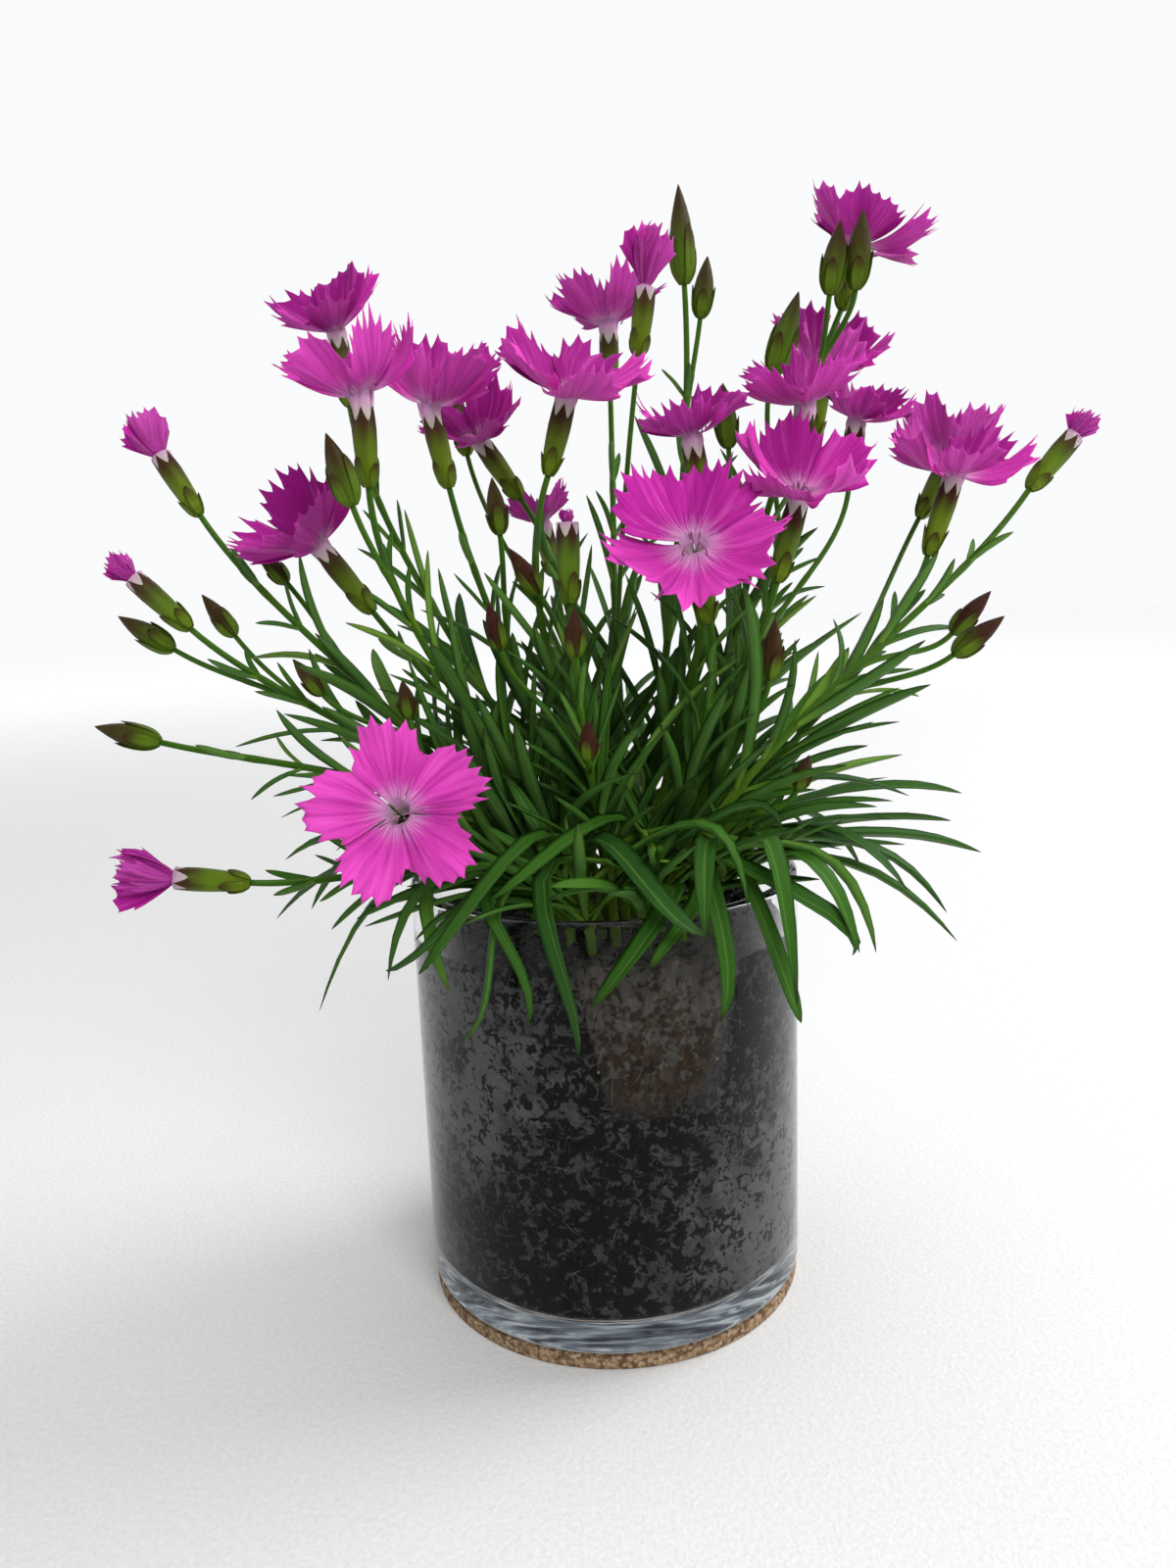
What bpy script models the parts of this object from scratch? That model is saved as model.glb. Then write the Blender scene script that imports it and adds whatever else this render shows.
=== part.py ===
"""A dianthus in flower, planted in a clear glass cylinder that stands on a disc of cork.

Metres, +Z up. The origin is the centre of the cork disc's underside, and -Y is the front.
"""

import math
import random
from dataclasses import dataclass

import bmesh
import bpy
from mathutils import Matrix, Vector, noise
from mathutils.bvhtree import BVHTree

REST_GAP = 0.0003

# Cork disc and glass cylinder
CORK_RADIUS = 0.0445
CORK_THICKNESS = 0.003
GLASS_RADIUS = 0.045
GLASS_WALL = 0.0028
GLASS_FLOOR = 0.0055
GLASS_HEIGHT = 0.097
GLASS_LIP = 0.0010
GLASS_HEEL = 0.0022
GLASS_INNER_CURVE = 0.0033
POT_SIDES = 36
GLASS_FOOT_Z = CORK_THICKNESS + REST_GAP
RIM_Z = GLASS_FOOT_Z + GLASS_HEIGHT

# Potting soil, and the nursery plug of roots that is pushed against the front glass
SOIL_RADIUS = GLASS_RADIUS - GLASS_WALL - REST_GAP
SOIL_FOOT_Z = GLASS_FOOT_Z + GLASS_FLOOR + REST_GAP
SOIL_TOP_Z = 0.088
SOIL_RELIEF = 0.0012
SOIL_RELIEF_SCALE = 90
PLUG_TOP = Vector((0.0040, -0.0145, 0.0905))
PLUG_FOOT = Vector((0.0058, -0.0207, 0.0570))
PLUG_TOP_RADIUS = 0.029
PLUG_FOOT_RADIUS = 0.022
PLUG_SIDES = 20
POCKET_LONGER = 0.2

# Stems: each stands in a plain hole in the plug
CROWN = Vector((0.0042, -0.0130))
CROWN_RADIUS = 0.0225
CROWN_SLOTS = 32
GOLDEN_ANGLE = math.pi * (3 - math.sqrt(5))
STEM_FOOT_Z = 0.0850
STEM_FREE_Z = 0.0925
STEM_ROOT_RADIUS = 0.0012
STALK_RADIUS = 0.0008
HOLE_RADIUS = 0.0021
HOLE_DEPTH_Z = 0.0843
HOLE_LENGTH = 0.02
STEM_STEPS = 5
STEM_TRIES = 60
STEM_CLEARANCE = 0.0006
STEM_BOW_STEP = 0.0004

# Calyx, a green tube below the petals, and closed bud, as (radius, share of the length)
CALYX_PROFILE = ((0.0, 1.0), (0.0025, 1.0), (0.0026, 0.25), (0.0, -0.04))
BUD_PROFILE = ((0.0, 1.0), (0.0026, 0.45), (0.0019, 0.12), (0.0, -0.04))
BUD_PROFILE_LENGTH = 0.014
CALYX_SIDES = 5

# Petals: from a point in the claw, by rows of (radius, half width, points), out to the toothed edge, in shares
# of the petal's reach
PETALS = 5
PETAL_ROOT = 0.03
PETAL_CUP_SPREAD = 9
PETAL_ROWS = ((0.56, 0.35, 3),)
CLAW_DEPTH = 0.0012
PETAL_HALF_ANGLE = math.radians(35)
PETAL_TEETH = 5
TOOTH_DEPTH = 0.13
PETAL_ARCH = 0.16
PETAL_THICKNESS = 0.0008
CLAW_LIFT = 0.0032
CLAW_RADIUS = 0.0019
CLAW_FOOT_RADIUS = 0.0014
OPENING_SIDES = 10

# Leaves come to a point at both ends. Between them, share of the length and share of the half width
LEAF_ROWS = ((0.30, 1.0), (0.68, 0.86))
SHORT_LEAF_ROWS = ((0.42, 1.0),)
RIM_LEAF_ROWS = ((0.26, 0.9), (0.52, 1.0), (0.78, 0.78))
LEAF_ROOT_OFFSET = 0.0004
LEAF_KEEL = 0.0009
ROOT_FACES = 3
LEAF_CLEARANCE = 0.0004
LEAF_TRIES = 26
LEAF_STEPS = 24
LEAF_PAIRS = (
    # place on the stem, length, half width, angle at the root, angle at the tip
    (0.04, 0.052, 0.0022, 34, 84),
    (0.13, 0.050, 0.0022, 30, 70),
    (0.24, 0.045, 0.0021, 26, 58),
    (0.38, 0.036, 0.0019, 22, 50),
    (0.57, 0.026, 0.0015, 18, 40),
    (0.80, 0.012, 0.0010, 18, 34),
)
LONG_PAIRS = 4


def mm(x, y, z):
    return Vector((x, y, z)) / 1000


@dataclass
class Head:
    """What a stalk ends in, in millimetres: an open bloom, an opening bud, or a closed bud."""

    kind: str
    foot: tuple
    mouth: tuple
    spread: float = 0.0
    tall: float = 0.0
    face: tuple = ()
    cup: float = 26.0
    fork: float = 0.0


def bloom(foot, mouth, spread, face=(), cup=26.0, fork=0.0):
    return Head("bloom", foot, mouth, spread=spread, face=face, cup=cup, fork=fork)


def opening(foot, mouth, spread, tall, fork=0.0):
    return Head("opening", foot, mouth, spread=spread, tall=tall, fork=fork)


def bud(foot, tip, fork=0.0):
    return Head("bud", foot, tip, fork=fork)


# Each flowering shoot: the first head ends its main stem, and the others fork off that stem.
SHOOTS = {
    "left_outer": (
        opening((-89, 6, 184), (-97, 8, 197), 12, 12),
        bud((-72, 12, 168), (-79, 12, 177), fork=0.45),
    ),
    "left_middle": (
        opening((-90, -5, 159), (-101, -5, 170), 8, 8),
        bud((-97, 3, 154), (-109, 3, 162), fork=0.62),
        bud((-86, 14, 156), (-93, 14, 166), fork=0.42),
    ),
    "left_low": (bud((-96, -14, 135), (-110, -14, 139)),),
    "left_rim": (opening((-73, -34, 108), (-87, -36, 110), 15, 14),),
    "left_nodding": (
        bloom((-50, 0, 161), (-60, 2, 174), 36, face=(-0.70, -0.45, 0.80), cup=36),
        bud((-60, -12, 144), (-66, -12, 152), fork=0.35),
    ),
    "left_back": (bloom((-57, 26, 209), (-59, 28, 224), 32, face=(-0.20, -0.45, 1), cup=30),),
    "left_front_high": (
        bloom((-45, -22, 187), (-45, -23, 202), 31, face=(-0.30, -0.15, 1), cup=38),
        bud((-47, -30, 183), (-51, -31, 197), fork=0.66),
    ),
    "middle_left_high": (
        bloom((-32, 7, 188), (-35, 7, 203), 30, face=(0.15, -0.20, 1), cup=46),
        bud((-20, -6, 177), (-21, -8, 189), fork=0.50),
    ),
    "middle_left_back": (
        bloom((-17, 24, 186), (-25, 26, 198), 28, face=(-0.25, -0.60, 1), cup=34),
        bloom((-31, 42, 198), (-34, 44, 212), 28, face=(-0.10, -0.10, 1), cup=30, fork=0.30),
    ),
    "middle_bud": (
        opening((-5, -20, 162), (-5, -20, 178), 4, 4),
        bud((-12, -8, 164), (-18, -10, 174), fork=0.45),
        bud((-20, -20, 153), (-22, -22, 163), fork=0.40),
    ),
    "middle_high": (bloom((-9, -6, 189), (-5, -6, 203), 36, face=(0.30, -0.45, 1), cup=28),),
    "middle_back": (
        bloom((6, 45, 212), (6, 45, 226), 30, face=(0.0, 0.05, 1), cup=38),
        opening((12, 14, 216), (14, 14, 230), 9, 16, fork=0.25),
        bud((-6, 58, 158), (-9, 65, 167), fork=0.30),
    ),
    "tall_bud": (
        bud((24, 28, 234), (23, 28, 256)),
        bud((28, 32, 227), (30, 32, 241), fork=0.72),
    ),
    "front_big": (bloom((23, -31, 158), (20, -36, 171), 37, face=(-0.05, -1.05, 1), cup=24),),
    "middle_right_back": (
        bloom((24, -11, 180), (22, -12, 193), 25, face=(-0.15, -0.10, 1), cup=34),
        bud((31, 2, 194), (30, 3, 208), fork=0.55),
    ),
    "right_front_high": (
        bloom((38, -21, 165), (42, -21, 180), 31, face=(0.00, -0.50, 1), cup=36),
        bud((35, -30, 146), (36, -32, 158), fork=0.40),
    ),
    "right_pair": (
        bloom((44, -8, 185), (46, -8, 199), 28, face=(-0.10, -0.20, 1), cup=34),
        bloom((60, 13, 185), (62, 16, 198), 26, face=(0.25, -0.25, 1), cup=32, fork=0.50),
    ),
    "right_back_high": (
        bloom((57, 40, 199), (59, 42, 212), 34, face=(0.30, -0.40, 1), cup=34),
        bud((43, 16, 211), (49, 16, 229), fork=0.62),
    ),
    "top_right": (
        bloom((60, 22, 226), (64, 25, 238), 34, face=(0.35, 0.08, 1), cup=24),
        bud((55, 11, 227), (57, 9, 242), fork=0.86),
        bud((61, 12, 228), (62, 9, 244), fork=0.88),
    ),
    "right_outer": (
        bloom((75, 0, 169), (80, 1, 184), 34, face=(0.05, -0.40, 1), cup=28),
        bloom((80, 26, 178), (87, 29, 190), 28, face=(0.10, -0.05, 1), cup=42, fork=0.40),
    ),
    "far_right": (
        opening((100, 8, 183), (110, 10, 194), 8, 8),
        bud((79, -6, 152), (87, -7, 161), fork=0.50),
        bud((77, -14, 148), (87, -16, 156), fork=0.40),
    ),
    "front_left_face": (
        bloom((-35, -39, 116), (-38, -49, 124), 38, face=(0.12, -0.95, 0.22), cup=10),
        bud((-39, -26, 140), (-40, -27, 148), fork=0.50),
    ),
    "front_middle": (
        bud((-4, -34, 152), (-4, -34, 162)),
        bud((-2, -43, 133), (-2, -46, 141), fork=0.55),
        bud((40, -34, 124), (42, -36, 131), fork=0.20),
    ),
    "small_back": (
        bloom((-10, 38, 167), (-12, 40, 178), 20, face=(-0.2, 0.1, 1), cup=40),
    ),
}

# Leafy tufts at the foot of the plant, by the way they grow, and the leaves that arch over the rim
TUFT_AZIMUTHS = (20, 75, 135, 195, 240, 282, 330)
TUFT_HEIGHT = 0.023
TUFT_LEAN = 0.011
TUFT_LEAVES = 6
# azimuth in degrees, reach from the pot's axis and tip height in millimetres, rise above the rim
RIM_LEAVES = (
    (210, 70, 80, 20),
    (196, 75, 96, 15),
    (226, 63, 90, 21),
    (313, 60, 78, 24),
    (319, 67, 92, 20),
    (338, 78, 95, 16),
    (353, 86, 103, 12),
    (3, 83, 107, 14),
    (22, 72, 90, 18),
    (40, 66, 84, 22),
    (60, 60, 90, 24),
    (83, 58, 82, 25),
    (104, 62, 92, 22),
    (127, 60, 84, 23),
    (148, 68, 94, 18),
    (170, 74, 88, 16),
)
RIM_LEAF_HALF_WIDTH = 0.0023
# leaves that cross the others: first the tuft that they grow from, and then as for the leaves above
CROSSING_LEAVES = (
    (282, 223, 60, 95, 25),
    (240, 301, 58, 96, 28),
    (330, 289, 58, 99, 33),
    (282, 326, 66, 86, 21),
    (195, 232, 62, 99, 24),
    (20, 340, 80, 88, 16),
    (20, 329, 72, 99, 22),
    (330, 350, 82, 96, 18),
    (240, 216, 62, 112, 28),
    (282, 246, 52, 116, 33),
    (330, 262, 50, 112, 36),
    (240, 312, 54, 116, 35),
    (330, 312, 56, 118, 32),
    (20, 355, 82, 116, 22),
    (195, 180, 74, 104, 20),
    (75, 108, 58, 96, 26),
    (135, 96, 60, 88, 26),
    (135, 164, 70, 101, 20),
    (75, 34, 66, 98, 22),
    (195, 158, 68, 105, 22),
    (20, 52, 62, 92, 24),
)
# broad leaves in front of the glass: the tuft that each grows from, its half width in millimetres, and the three
# places that it passes, of which the last is its tip
FRONT_LEAVES = (
    (240, 2.5, (-11, -34, 115), (-21, -46, 110), (-36, -49, 91)),
    (240, 2.1, (-14, -31, 111), (-24, -43, 108), (-43, -51, 94)),
    (240, 1.9, (-21, -42, 105), (-24, -45, 91), (-30, -45, 76)),
    (240, 1.5, (-24, -41, 103), (-18, -47, 93), (-16, -49, 80)),
    (282, 2.6, (-12, -43, 107), (-9, -51, 92), (-6, -53, 75)),
    (282, 2.6, (-12, -39, 110), (1, -54, 97), (14, -57, 88)),
    (282, 2.9, (14, -42, 107), (6, -54, 98), (-3, -58, 88)),
    (240, 2.8, (-3, -36, 116), (7, -50, 111), (19, -57, 101)),
    (282, 2.0, (20, -39, 107), (14, -50, 100), (8, -53, 93)),
    (330, 1.9, (21, -38, 107), (23, -47, 95), (22, -48, 80)),
    (330, 2.2, (30, -34, 105), (35, -40, 92), (40, -38, 75)),
    (330, 2.6, (20, -30, 113), (35, -40, 106), (50, -40, 90)),
    (330, 2.2, (30, -22, 112), (41, -36, 103), (51, -37, 87)),
    (195, 1.6, (-36, -30, 105), (-35, -38, 95), (-31, -43, 85)),
    (282, 2.6, (5, -32, 119), (-6, -44, 118), (-22, -53, 108)),
    (330, 2.7, (12, -22, 122), (-4, -40, 127), (-19, -48, 134)),
)


def material(name, colour, roughness, transmission=0.0):
    made = bpy.data.materials.new(name)
    made.use_nodes = True
    made.diffuse_color = (*colour, 1)
    shader = made.node_tree.nodes["Principled BSDF"]
    shader.inputs["Base Color"].default_value = (*colour, 1)
    shader.inputs["Roughness"].default_value = roughness
    shader.inputs["Transmission Weight"].default_value = transmission
    return made


def set_material(piece, finish):
    """Gives a fused piece one material, in place of the empty slots that its parts brought."""
    piece.data.materials.clear()
    piece.data.materials.append(finish)


def add_object(name, mesh, collection, finish=None):
    made = bpy.data.objects.new(name, mesh)
    collection.objects.link(made)
    if finish:
        made.data.materials.append(finish)
    return made


def mesh_from(name, points, faces):
    mesh = bpy.data.meshes.new(name)
    mesh.from_pydata([tuple(p) for p in points], [], faces)
    shape = bmesh.new()
    shape.from_mesh(mesh)
    bmesh.ops.recalc_face_normals(shape, faces=shape.faces)
    shape.to_mesh(mesh)
    shape.free()
    return mesh


def evaluated_mesh(source):
    graph = bpy.context.evaluated_depsgraph_get()
    return bpy.data.meshes.new_from_object(source.evaluated_get(graph))


def apply_modifiers(target):
    done = evaluated_mesh(target)
    target.modifiers.clear()
    target.data = done


def turned_mesh(name, profile, sides):
    """A closed turned shape from (radius, height) pairs that run down its outer side, top to bottom."""
    line = bpy.data.meshes.new(name)
    line.from_pydata([(r, 0, z) for r, z in profile], [(i, i + 1) for i in range(len(profile) - 1)], [])
    lathe = add_object(name, line, bpy.context.scene.collection)
    screw = lathe.modifiers.new("Turn", "SCREW")
    screw.steps = sides
    screw.render_steps = sides
    screw.use_merge_vertices = True
    screw.merge_threshold = 0.00002
    mesh = evaluated_mesh(lathe)
    bpy.data.objects.remove(lathe)
    return mesh


def join_repeats(base, repeats):
    """Fuses the repeats into the base by one union, and removes them. The exact solver takes minutes here."""
    if not repeats:
        return
    group = bpy.data.collections.new(f"{base.name}_repeats")
    for piece in repeats:
        for owner in piece.users_collection:
            owner.objects.unlink(piece)
        group.objects.link(piece)
    union = base.modifiers.new("Union", "BOOLEAN")
    union.operation = "UNION"
    union.solver = "MANIFOLD"
    union.operand_type = "COLLECTION"
    union.collection = group
    apply_modifiers(base)
    for piece in repeats:
        bpy.data.objects.remove(piece)
    bpy.data.collections.remove(group)


def cut_away(base, cutters, operation="DIFFERENCE"):
    for cutter in cutters:
        cutter.hide_render = True
        cutter.display_type = "WIRE"
        cut = base.modifiers.new(cutter.name, "BOOLEAN")
        cut.operation = operation
        cut.object = cutter
    apply_modifiers(base)
    for cutter in cutters:
        bpy.data.objects.remove(cutter)


def facing(foot, toward, spin=0.0):
    """A matrix that stands a shape's +Z along the given way, turned by spin about it."""
    turn = Vector(toward).to_track_quat("Z", "Y").to_matrix().to_4x4()
    return Matrix.Translation(foot) @ turn @ Matrix.Rotation(spin, 4, "Z")


# Pot


def make_cork(collection):
    bpy.ops.mesh.primitive_cylinder_add(
        vertices=POT_SIDES, radius=CORK_RADIUS, depth=CORK_THICKNESS, location=(0, 0, CORK_THICKNESS / 2)
    )
    cork = bpy.context.object
    cork.name = "cork_disc"
    cork.data.materials.append(material("cork", (0.52, 0.33, 0.18), 0.9))
    move_to(cork, collection)


def make_glass(collection):
    inner = GLASS_RADIUS - GLASS_WALL
    profile = (
        (0.0, GLASS_FLOOR),
        (inner - GLASS_INNER_CURVE, GLASS_FLOOR),
        (inner, GLASS_FLOOR + GLASS_INNER_CURVE),
        (inner, GLASS_HEIGHT - GLASS_LIP),
        (inner + GLASS_LIP, GLASS_HEIGHT),
        (GLASS_RADIUS - GLASS_LIP, GLASS_HEIGHT),
        (GLASS_RADIUS, GLASS_HEIGHT - GLASS_LIP),
        (GLASS_RADIUS, GLASS_HEEL),
        (GLASS_RADIUS - GLASS_HEEL, 0.0),
        (0.0, 0.0),
    )
    glass = add_object("glass_pot", turned_mesh("glass_pot", profile, POT_SIDES), collection)
    glass.location.z = GLASS_FOOT_Z
    glass.data.materials.append(material("clear glass", (0.93, 0.96, 0.95), 0.03, transmission=1.0))


def plug_mesh(name, extra=0.0, longer=0.0):
    """The tapered plug of roots, which leans on the front glass. Its pocket is wider by extra and longer."""
    shape = bmesh.new()
    bmesh.ops.create_cone(
        shape,
        cap_ends=True,
        segments=PLUG_SIDES,
        radius1=PLUG_FOOT_RADIUS + extra,
        radius2=PLUG_FOOT_RADIUS + (PLUG_TOP_RADIUS - PLUG_FOOT_RADIUS) * (1 + longer) + extra,
        depth=1.0,
    )
    foot = PLUG_FOOT - Vector((0, 0, extra))
    top = PLUG_FOOT.lerp(PLUG_TOP, 1 + longer)
    for vertex in shape.verts:
        centre = foot if vertex.co.z < 0 else top
        vertex.co = Vector((vertex.co.x, vertex.co.y, 0)) + centre
    mesh = bpy.data.meshes.new(name)
    shape.to_mesh(mesh)
    shape.free()
    return mesh


def make_plug(collection, stem_places):
    plug = add_object("root_plug", plug_mesh("root_plug"), collection)
    bpy.ops.mesh.primitive_cylinder_add(vertices=POT_SIDES * 2, radius=SOIL_RADIUS, depth=2 * RIM_Z)
    cut_away(plug, [bpy.context.object], "INTERSECT")
    drills = []
    for place in stem_places:
        bpy.ops.mesh.primitive_cylinder_add(
            vertices=4,
            radius=HOLE_RADIUS,
            depth=HOLE_LENGTH,
            location=(place.x, place.y, HOLE_DEPTH_Z + HOLE_LENGTH / 2),
        )
        drills.append(bpy.context.object)
    cut_away(plug, drills)
    plug.data.materials.append(material("matted roots", (0.16, 0.09, 0.045), 0.95))


def make_soil(collection):
    """Soil that fills the glass, with an uneven top and the plug's pocket."""
    profile = (
        (0.0, SOIL_TOP_Z),
        (SOIL_RADIUS * 0.40, SOIL_TOP_Z),
        (SOIL_RADIUS * 0.74, SOIL_TOP_Z),
        (SOIL_RADIUS, SOIL_TOP_Z - SOIL_RELIEF),
        (SOIL_RADIUS, SOIL_FOOT_Z + GLASS_INNER_CURVE),
        (SOIL_RADIUS - GLASS_INNER_CURVE, SOIL_FOOT_Z),
        (0.0, SOIL_FOOT_Z),
    )
    soil = add_object("potting_soil", turned_mesh("potting_soil", profile, POT_SIDES), collection)
    for vertex in soil.data.vertices:
        if vertex.co.z > SOIL_TOP_Z - SOIL_RELIEF / 2:
            vertex.co.z += SOIL_RELIEF * noise.noise(vertex.co * SOIL_RELIEF_SCALE)
    pocket_mesh = plug_mesh("pocket", extra=REST_GAP, longer=POCKET_LONGER)
    pocket = add_object("pocket", pocket_mesh, bpy.context.scene.collection)
    cut_away(soil, [pocket])
    soil.data.materials.append(material("potting soil", (0.025, 0.022, 0.02), 0.95))


def move_to(piece, collection):
    for owner in piece.users_collection:
        owner.objects.unlink(piece)
    collection.objects.link(piece)


# Stems


def bezier(start, first, second, end, t):
    s = 1 - t
    return start * s**3 + first * 3 * s * s * t + second * 3 * s * t * t + end * t**3


def crown_slots():
    """Places for the stems, spread evenly over the crown like seeds on a head."""
    slots = []
    for i in range(CROWN_SLOTS):
        reach = CROWN_RADIUS * math.sqrt((i + 0.5) / CROWN_SLOTS)
        turn = i * GOLDEN_ANGLE
        slots.append(CROWN + Vector((math.cos(turn), math.sin(turn))) * reach)
    return slots


def take_slot(slots, wished):
    nearest = min(slots, key=lambda slot: (slot - wished).length)
    slots.remove(nearest)
    return nearest


class Obstacles:
    """What is already in place. A new piece is clear if it meets nothing of another owner, and if its free
    faces, those away from its root, meet nothing of its own owner either."""

    def __init__(self):
        self.items = []

    @staticmethod
    def bounds(points):
        low = [min(p[i] for p in points) for i in range(3)]
        high = [max(p[i] for p in points) for i in range(3)]
        return low, high

    def add(self, owner, points, faces, free_faces=None):
        whole = BVHTree.FromPolygons(points, faces)
        free = BVHTree.FromPolygons(points, free_faces) if free_faces else whole
        self.items.append((owner, self.bounds(points), whole, free))

    def clear(self, owner, points, faces, free_faces=None):
        low, high = self.bounds(points)
        trees = {}
        for other, (other_low, other_high), whole, free in self.items:
            own = other == owner
            if own and not free_faces:
                continue
            if any(high[i] < other_low[i] or low[i] > other_high[i] for i in range(3)):
                continue
            if own not in trees:
                trees[own] = BVHTree.FromPolygons(points, free_faces if own else faces)
            if trees[own].overlap(free if own else whole):
                return False
        return True


def world_shape(piece):
    points = [piece.matrix_world @ v.co for v in piece.data.vertices]
    return points, [tuple(p.vertices) for p in piece.data.polygons]


def square_tube(points, radius):
    """Corners and faces of a four-sided tube, to test a stem's path with."""
    corners = []
    for i, point in enumerate(points):
        way = points[min(i + 1, len(points) - 1)] - points[max(i - 1, 0)]
        side = way.orthogonal().normalized()
        other = way.cross(side).normalized()
        corners += [point + (side * a + other * b) * radius for a, b in ((1, 0), (0, 1), (-1, 0), (0, -1))]
    faces = []
    for i in range(len(points) - 1):
        for k in range(4):
            a, b = i * 4 + k, i * 4 + (k + 1) % 4
            faces.append((a, b, b + 4, a + 4))
    return corners, faces


def stem_path(start, start_way, foot, end_way, sway):
    reach = (foot - start).length
    first = start + start_way * reach * 0.38 + sway
    second = foot - end_way * reach * 0.30 + sway * 0.5
    return [bezier(start, first, second, foot, i / STEM_STEPS) for i in range(STEM_STEPS + 1)]


def clear_path(owner, obstacles, start, start_way, foot, end_way, rng, tip=None):
    """A stem's path, bent aside until it is clear of the other shoots."""
    for attempt in range(STEM_TRIES):
        bow = STEM_BOW_STEP * attempt
        sway = Vector((rng.uniform(-bow, bow), rng.uniform(-bow, bow), 0))
        path = stem_path(start, start_way, foot, end_way, sway)
        tested = path + [tip] if tip else path
        if obstacles.clear(owner, *square_tube(tested, STEM_ROOT_RADIUS + STEM_CLEARANCE)):
            return path
    print(f"{owner}: no clear path")
    return path


def stem_object(name, path, root_radius, tip_radius, collection):
    """A tube along the path, thinner toward its tip, as a closed mesh."""
    curve = bpy.data.curves.new(name, "CURVE")
    curve.dimensions = "3D"
    curve.bevel_depth = root_radius
    curve.bevel_resolution = 0
    curve.use_fill_caps = True
    spline = curve.splines.new("POLY")
    spline.points.add(len(path) - 1)
    for i, point in enumerate(path):
        share = i / (len(path) - 1)
        spline.points[i].co = (*point, 1)
        spline.points[i].radius = 1 + (tip_radius / root_radius - 1) * share
    line = add_object(f"{name}_line", curve, bpy.context.scene.collection)
    mesh = evaluated_mesh(line)
    bpy.data.objects.remove(line)
    shape = bmesh.new()
    shape.from_mesh(mesh)
    bmesh.ops.remove_doubles(shape, verts=shape.verts, dist=0.000001)
    bmesh.ops.recalc_face_normals(shape, faces=shape.faces)
    shape.to_mesh(mesh)
    shape.free()
    return add_object(name, mesh, collection)


def head_way(head):
    return (mm(*head.mouth) - mm(*head.foot)).normalized()


def stalk_end(head, shapes, collection):
    """The calyx or the closed bud that a stalk carries."""
    foot, mouth = mm(*head.foot), mm(*head.mouth)
    length = (mouth - foot).length
    placed = facing(foot, mouth - foot)
    if head.kind == "bud":
        size = max(0.75, min(1.15, length / BUD_PROFILE_LENGTH))
        end = add_object("bud", shapes["bud"], collection)
        end.matrix_world = placed @ Matrix.Diagonal((size, size, length, 1))
    else:
        end = add_object("calyx", shapes["calyx"], collection)
        end.matrix_world = placed @ Matrix.Diagonal((1, 1, length, 1))
    return end


# Leaves


def bent_line(start, along, away, root_angle, tip_angle, length, shares):
    """Points at the given shares of a blade that leaves its stem and bends away from it."""
    point = start.copy()
    line = [point + away * LEAF_ROOT_OFFSET]
    for i in range(LEAF_STEPS):
        angle = math.radians(root_angle + (tip_angle - root_angle) * (i + 0.5) / LEAF_STEPS)
        point = point + (along * math.cos(angle) + away * math.sin(angle)) * (length / LEAF_STEPS)
        line.append(point)
    return [line[round(share * LEAF_STEPS)] for share in shares]


def arched_line(start, tip, rise, shares):
    """Points of a blade that arches over the rim: up, outward and down to its tip."""
    out = Vector((tip.x, tip.y, 0))
    reach = Vector((start.x, start.y, 0)).length
    peak = out.normalized() * ((reach + out.length) / 2 + 0.007)
    peak.z = RIM_Z + rise / 1000
    return [start * (1 - t) ** 2 + peak * 2 * t * (1 - t) + tip * t * t for t in shares]


def curve_through(points, t):
    """A point of the smooth line through the given points, which are spaced on it as they are in space."""
    gaps = [(b - a).length for a, b in zip(points, points[1:])]
    knots = [sum(gaps[:i]) / sum(gaps) for i in range(len(points))]
    total = Vector((0, 0, 0))
    for i, point in enumerate(points):
        weight = math.prod((t - knots[j]) / (knots[i] - knots[j]) for j in range(len(points)) if j != i)
        total += point * weight
    return total


def blade(line, side, rows, half_width, extra=0.0):
    """Corners and faces of a keeled blade: a point at the root, two edges and a keel at each row, and the tip."""
    points = [line[0]]
    for i, (_, share) in enumerate(rows, start=1):
        way = (line[i + 1] - line[i - 1]).normalized()
        under = side.cross(way).normalized()
        edge = side * (half_width * share + extra)
        above = line[i] - under * extra
        points += [above - edge, above + edge, line[i] + under * (LEAF_KEEL + extra)]
    points.append(line[-1])
    last = len(points) - 1
    faces = [(0, 1 + k, 1 + (k + 1) % 3) for k in range(3)]
    for row in range(1, last - 3, 3):
        for k in range(3):
            a, b = row + k, row + (k + 1) % 3
            faces += [(a, b, b + 3), (a, b + 3, a + 3)]
    faces += [(last - 3 + k, last - 3 + (k + 1) % 3, last) for k in range(3)]
    return points, faces


def leaf_if_clear(owner, obstacles, line, side, rows, half_width):
    points, faces = blade(line, side, rows, half_width, LEAF_CLEARANCE)
    if not obstacles.clear(owner, points, faces, faces[ROOT_FACES:]):
        return None
    points, faces = blade(line, side, rows, half_width)
    obstacles.add(owner, points, faces, faces[ROOT_FACES:])
    return mesh_from("leaf", points, faces)


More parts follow.
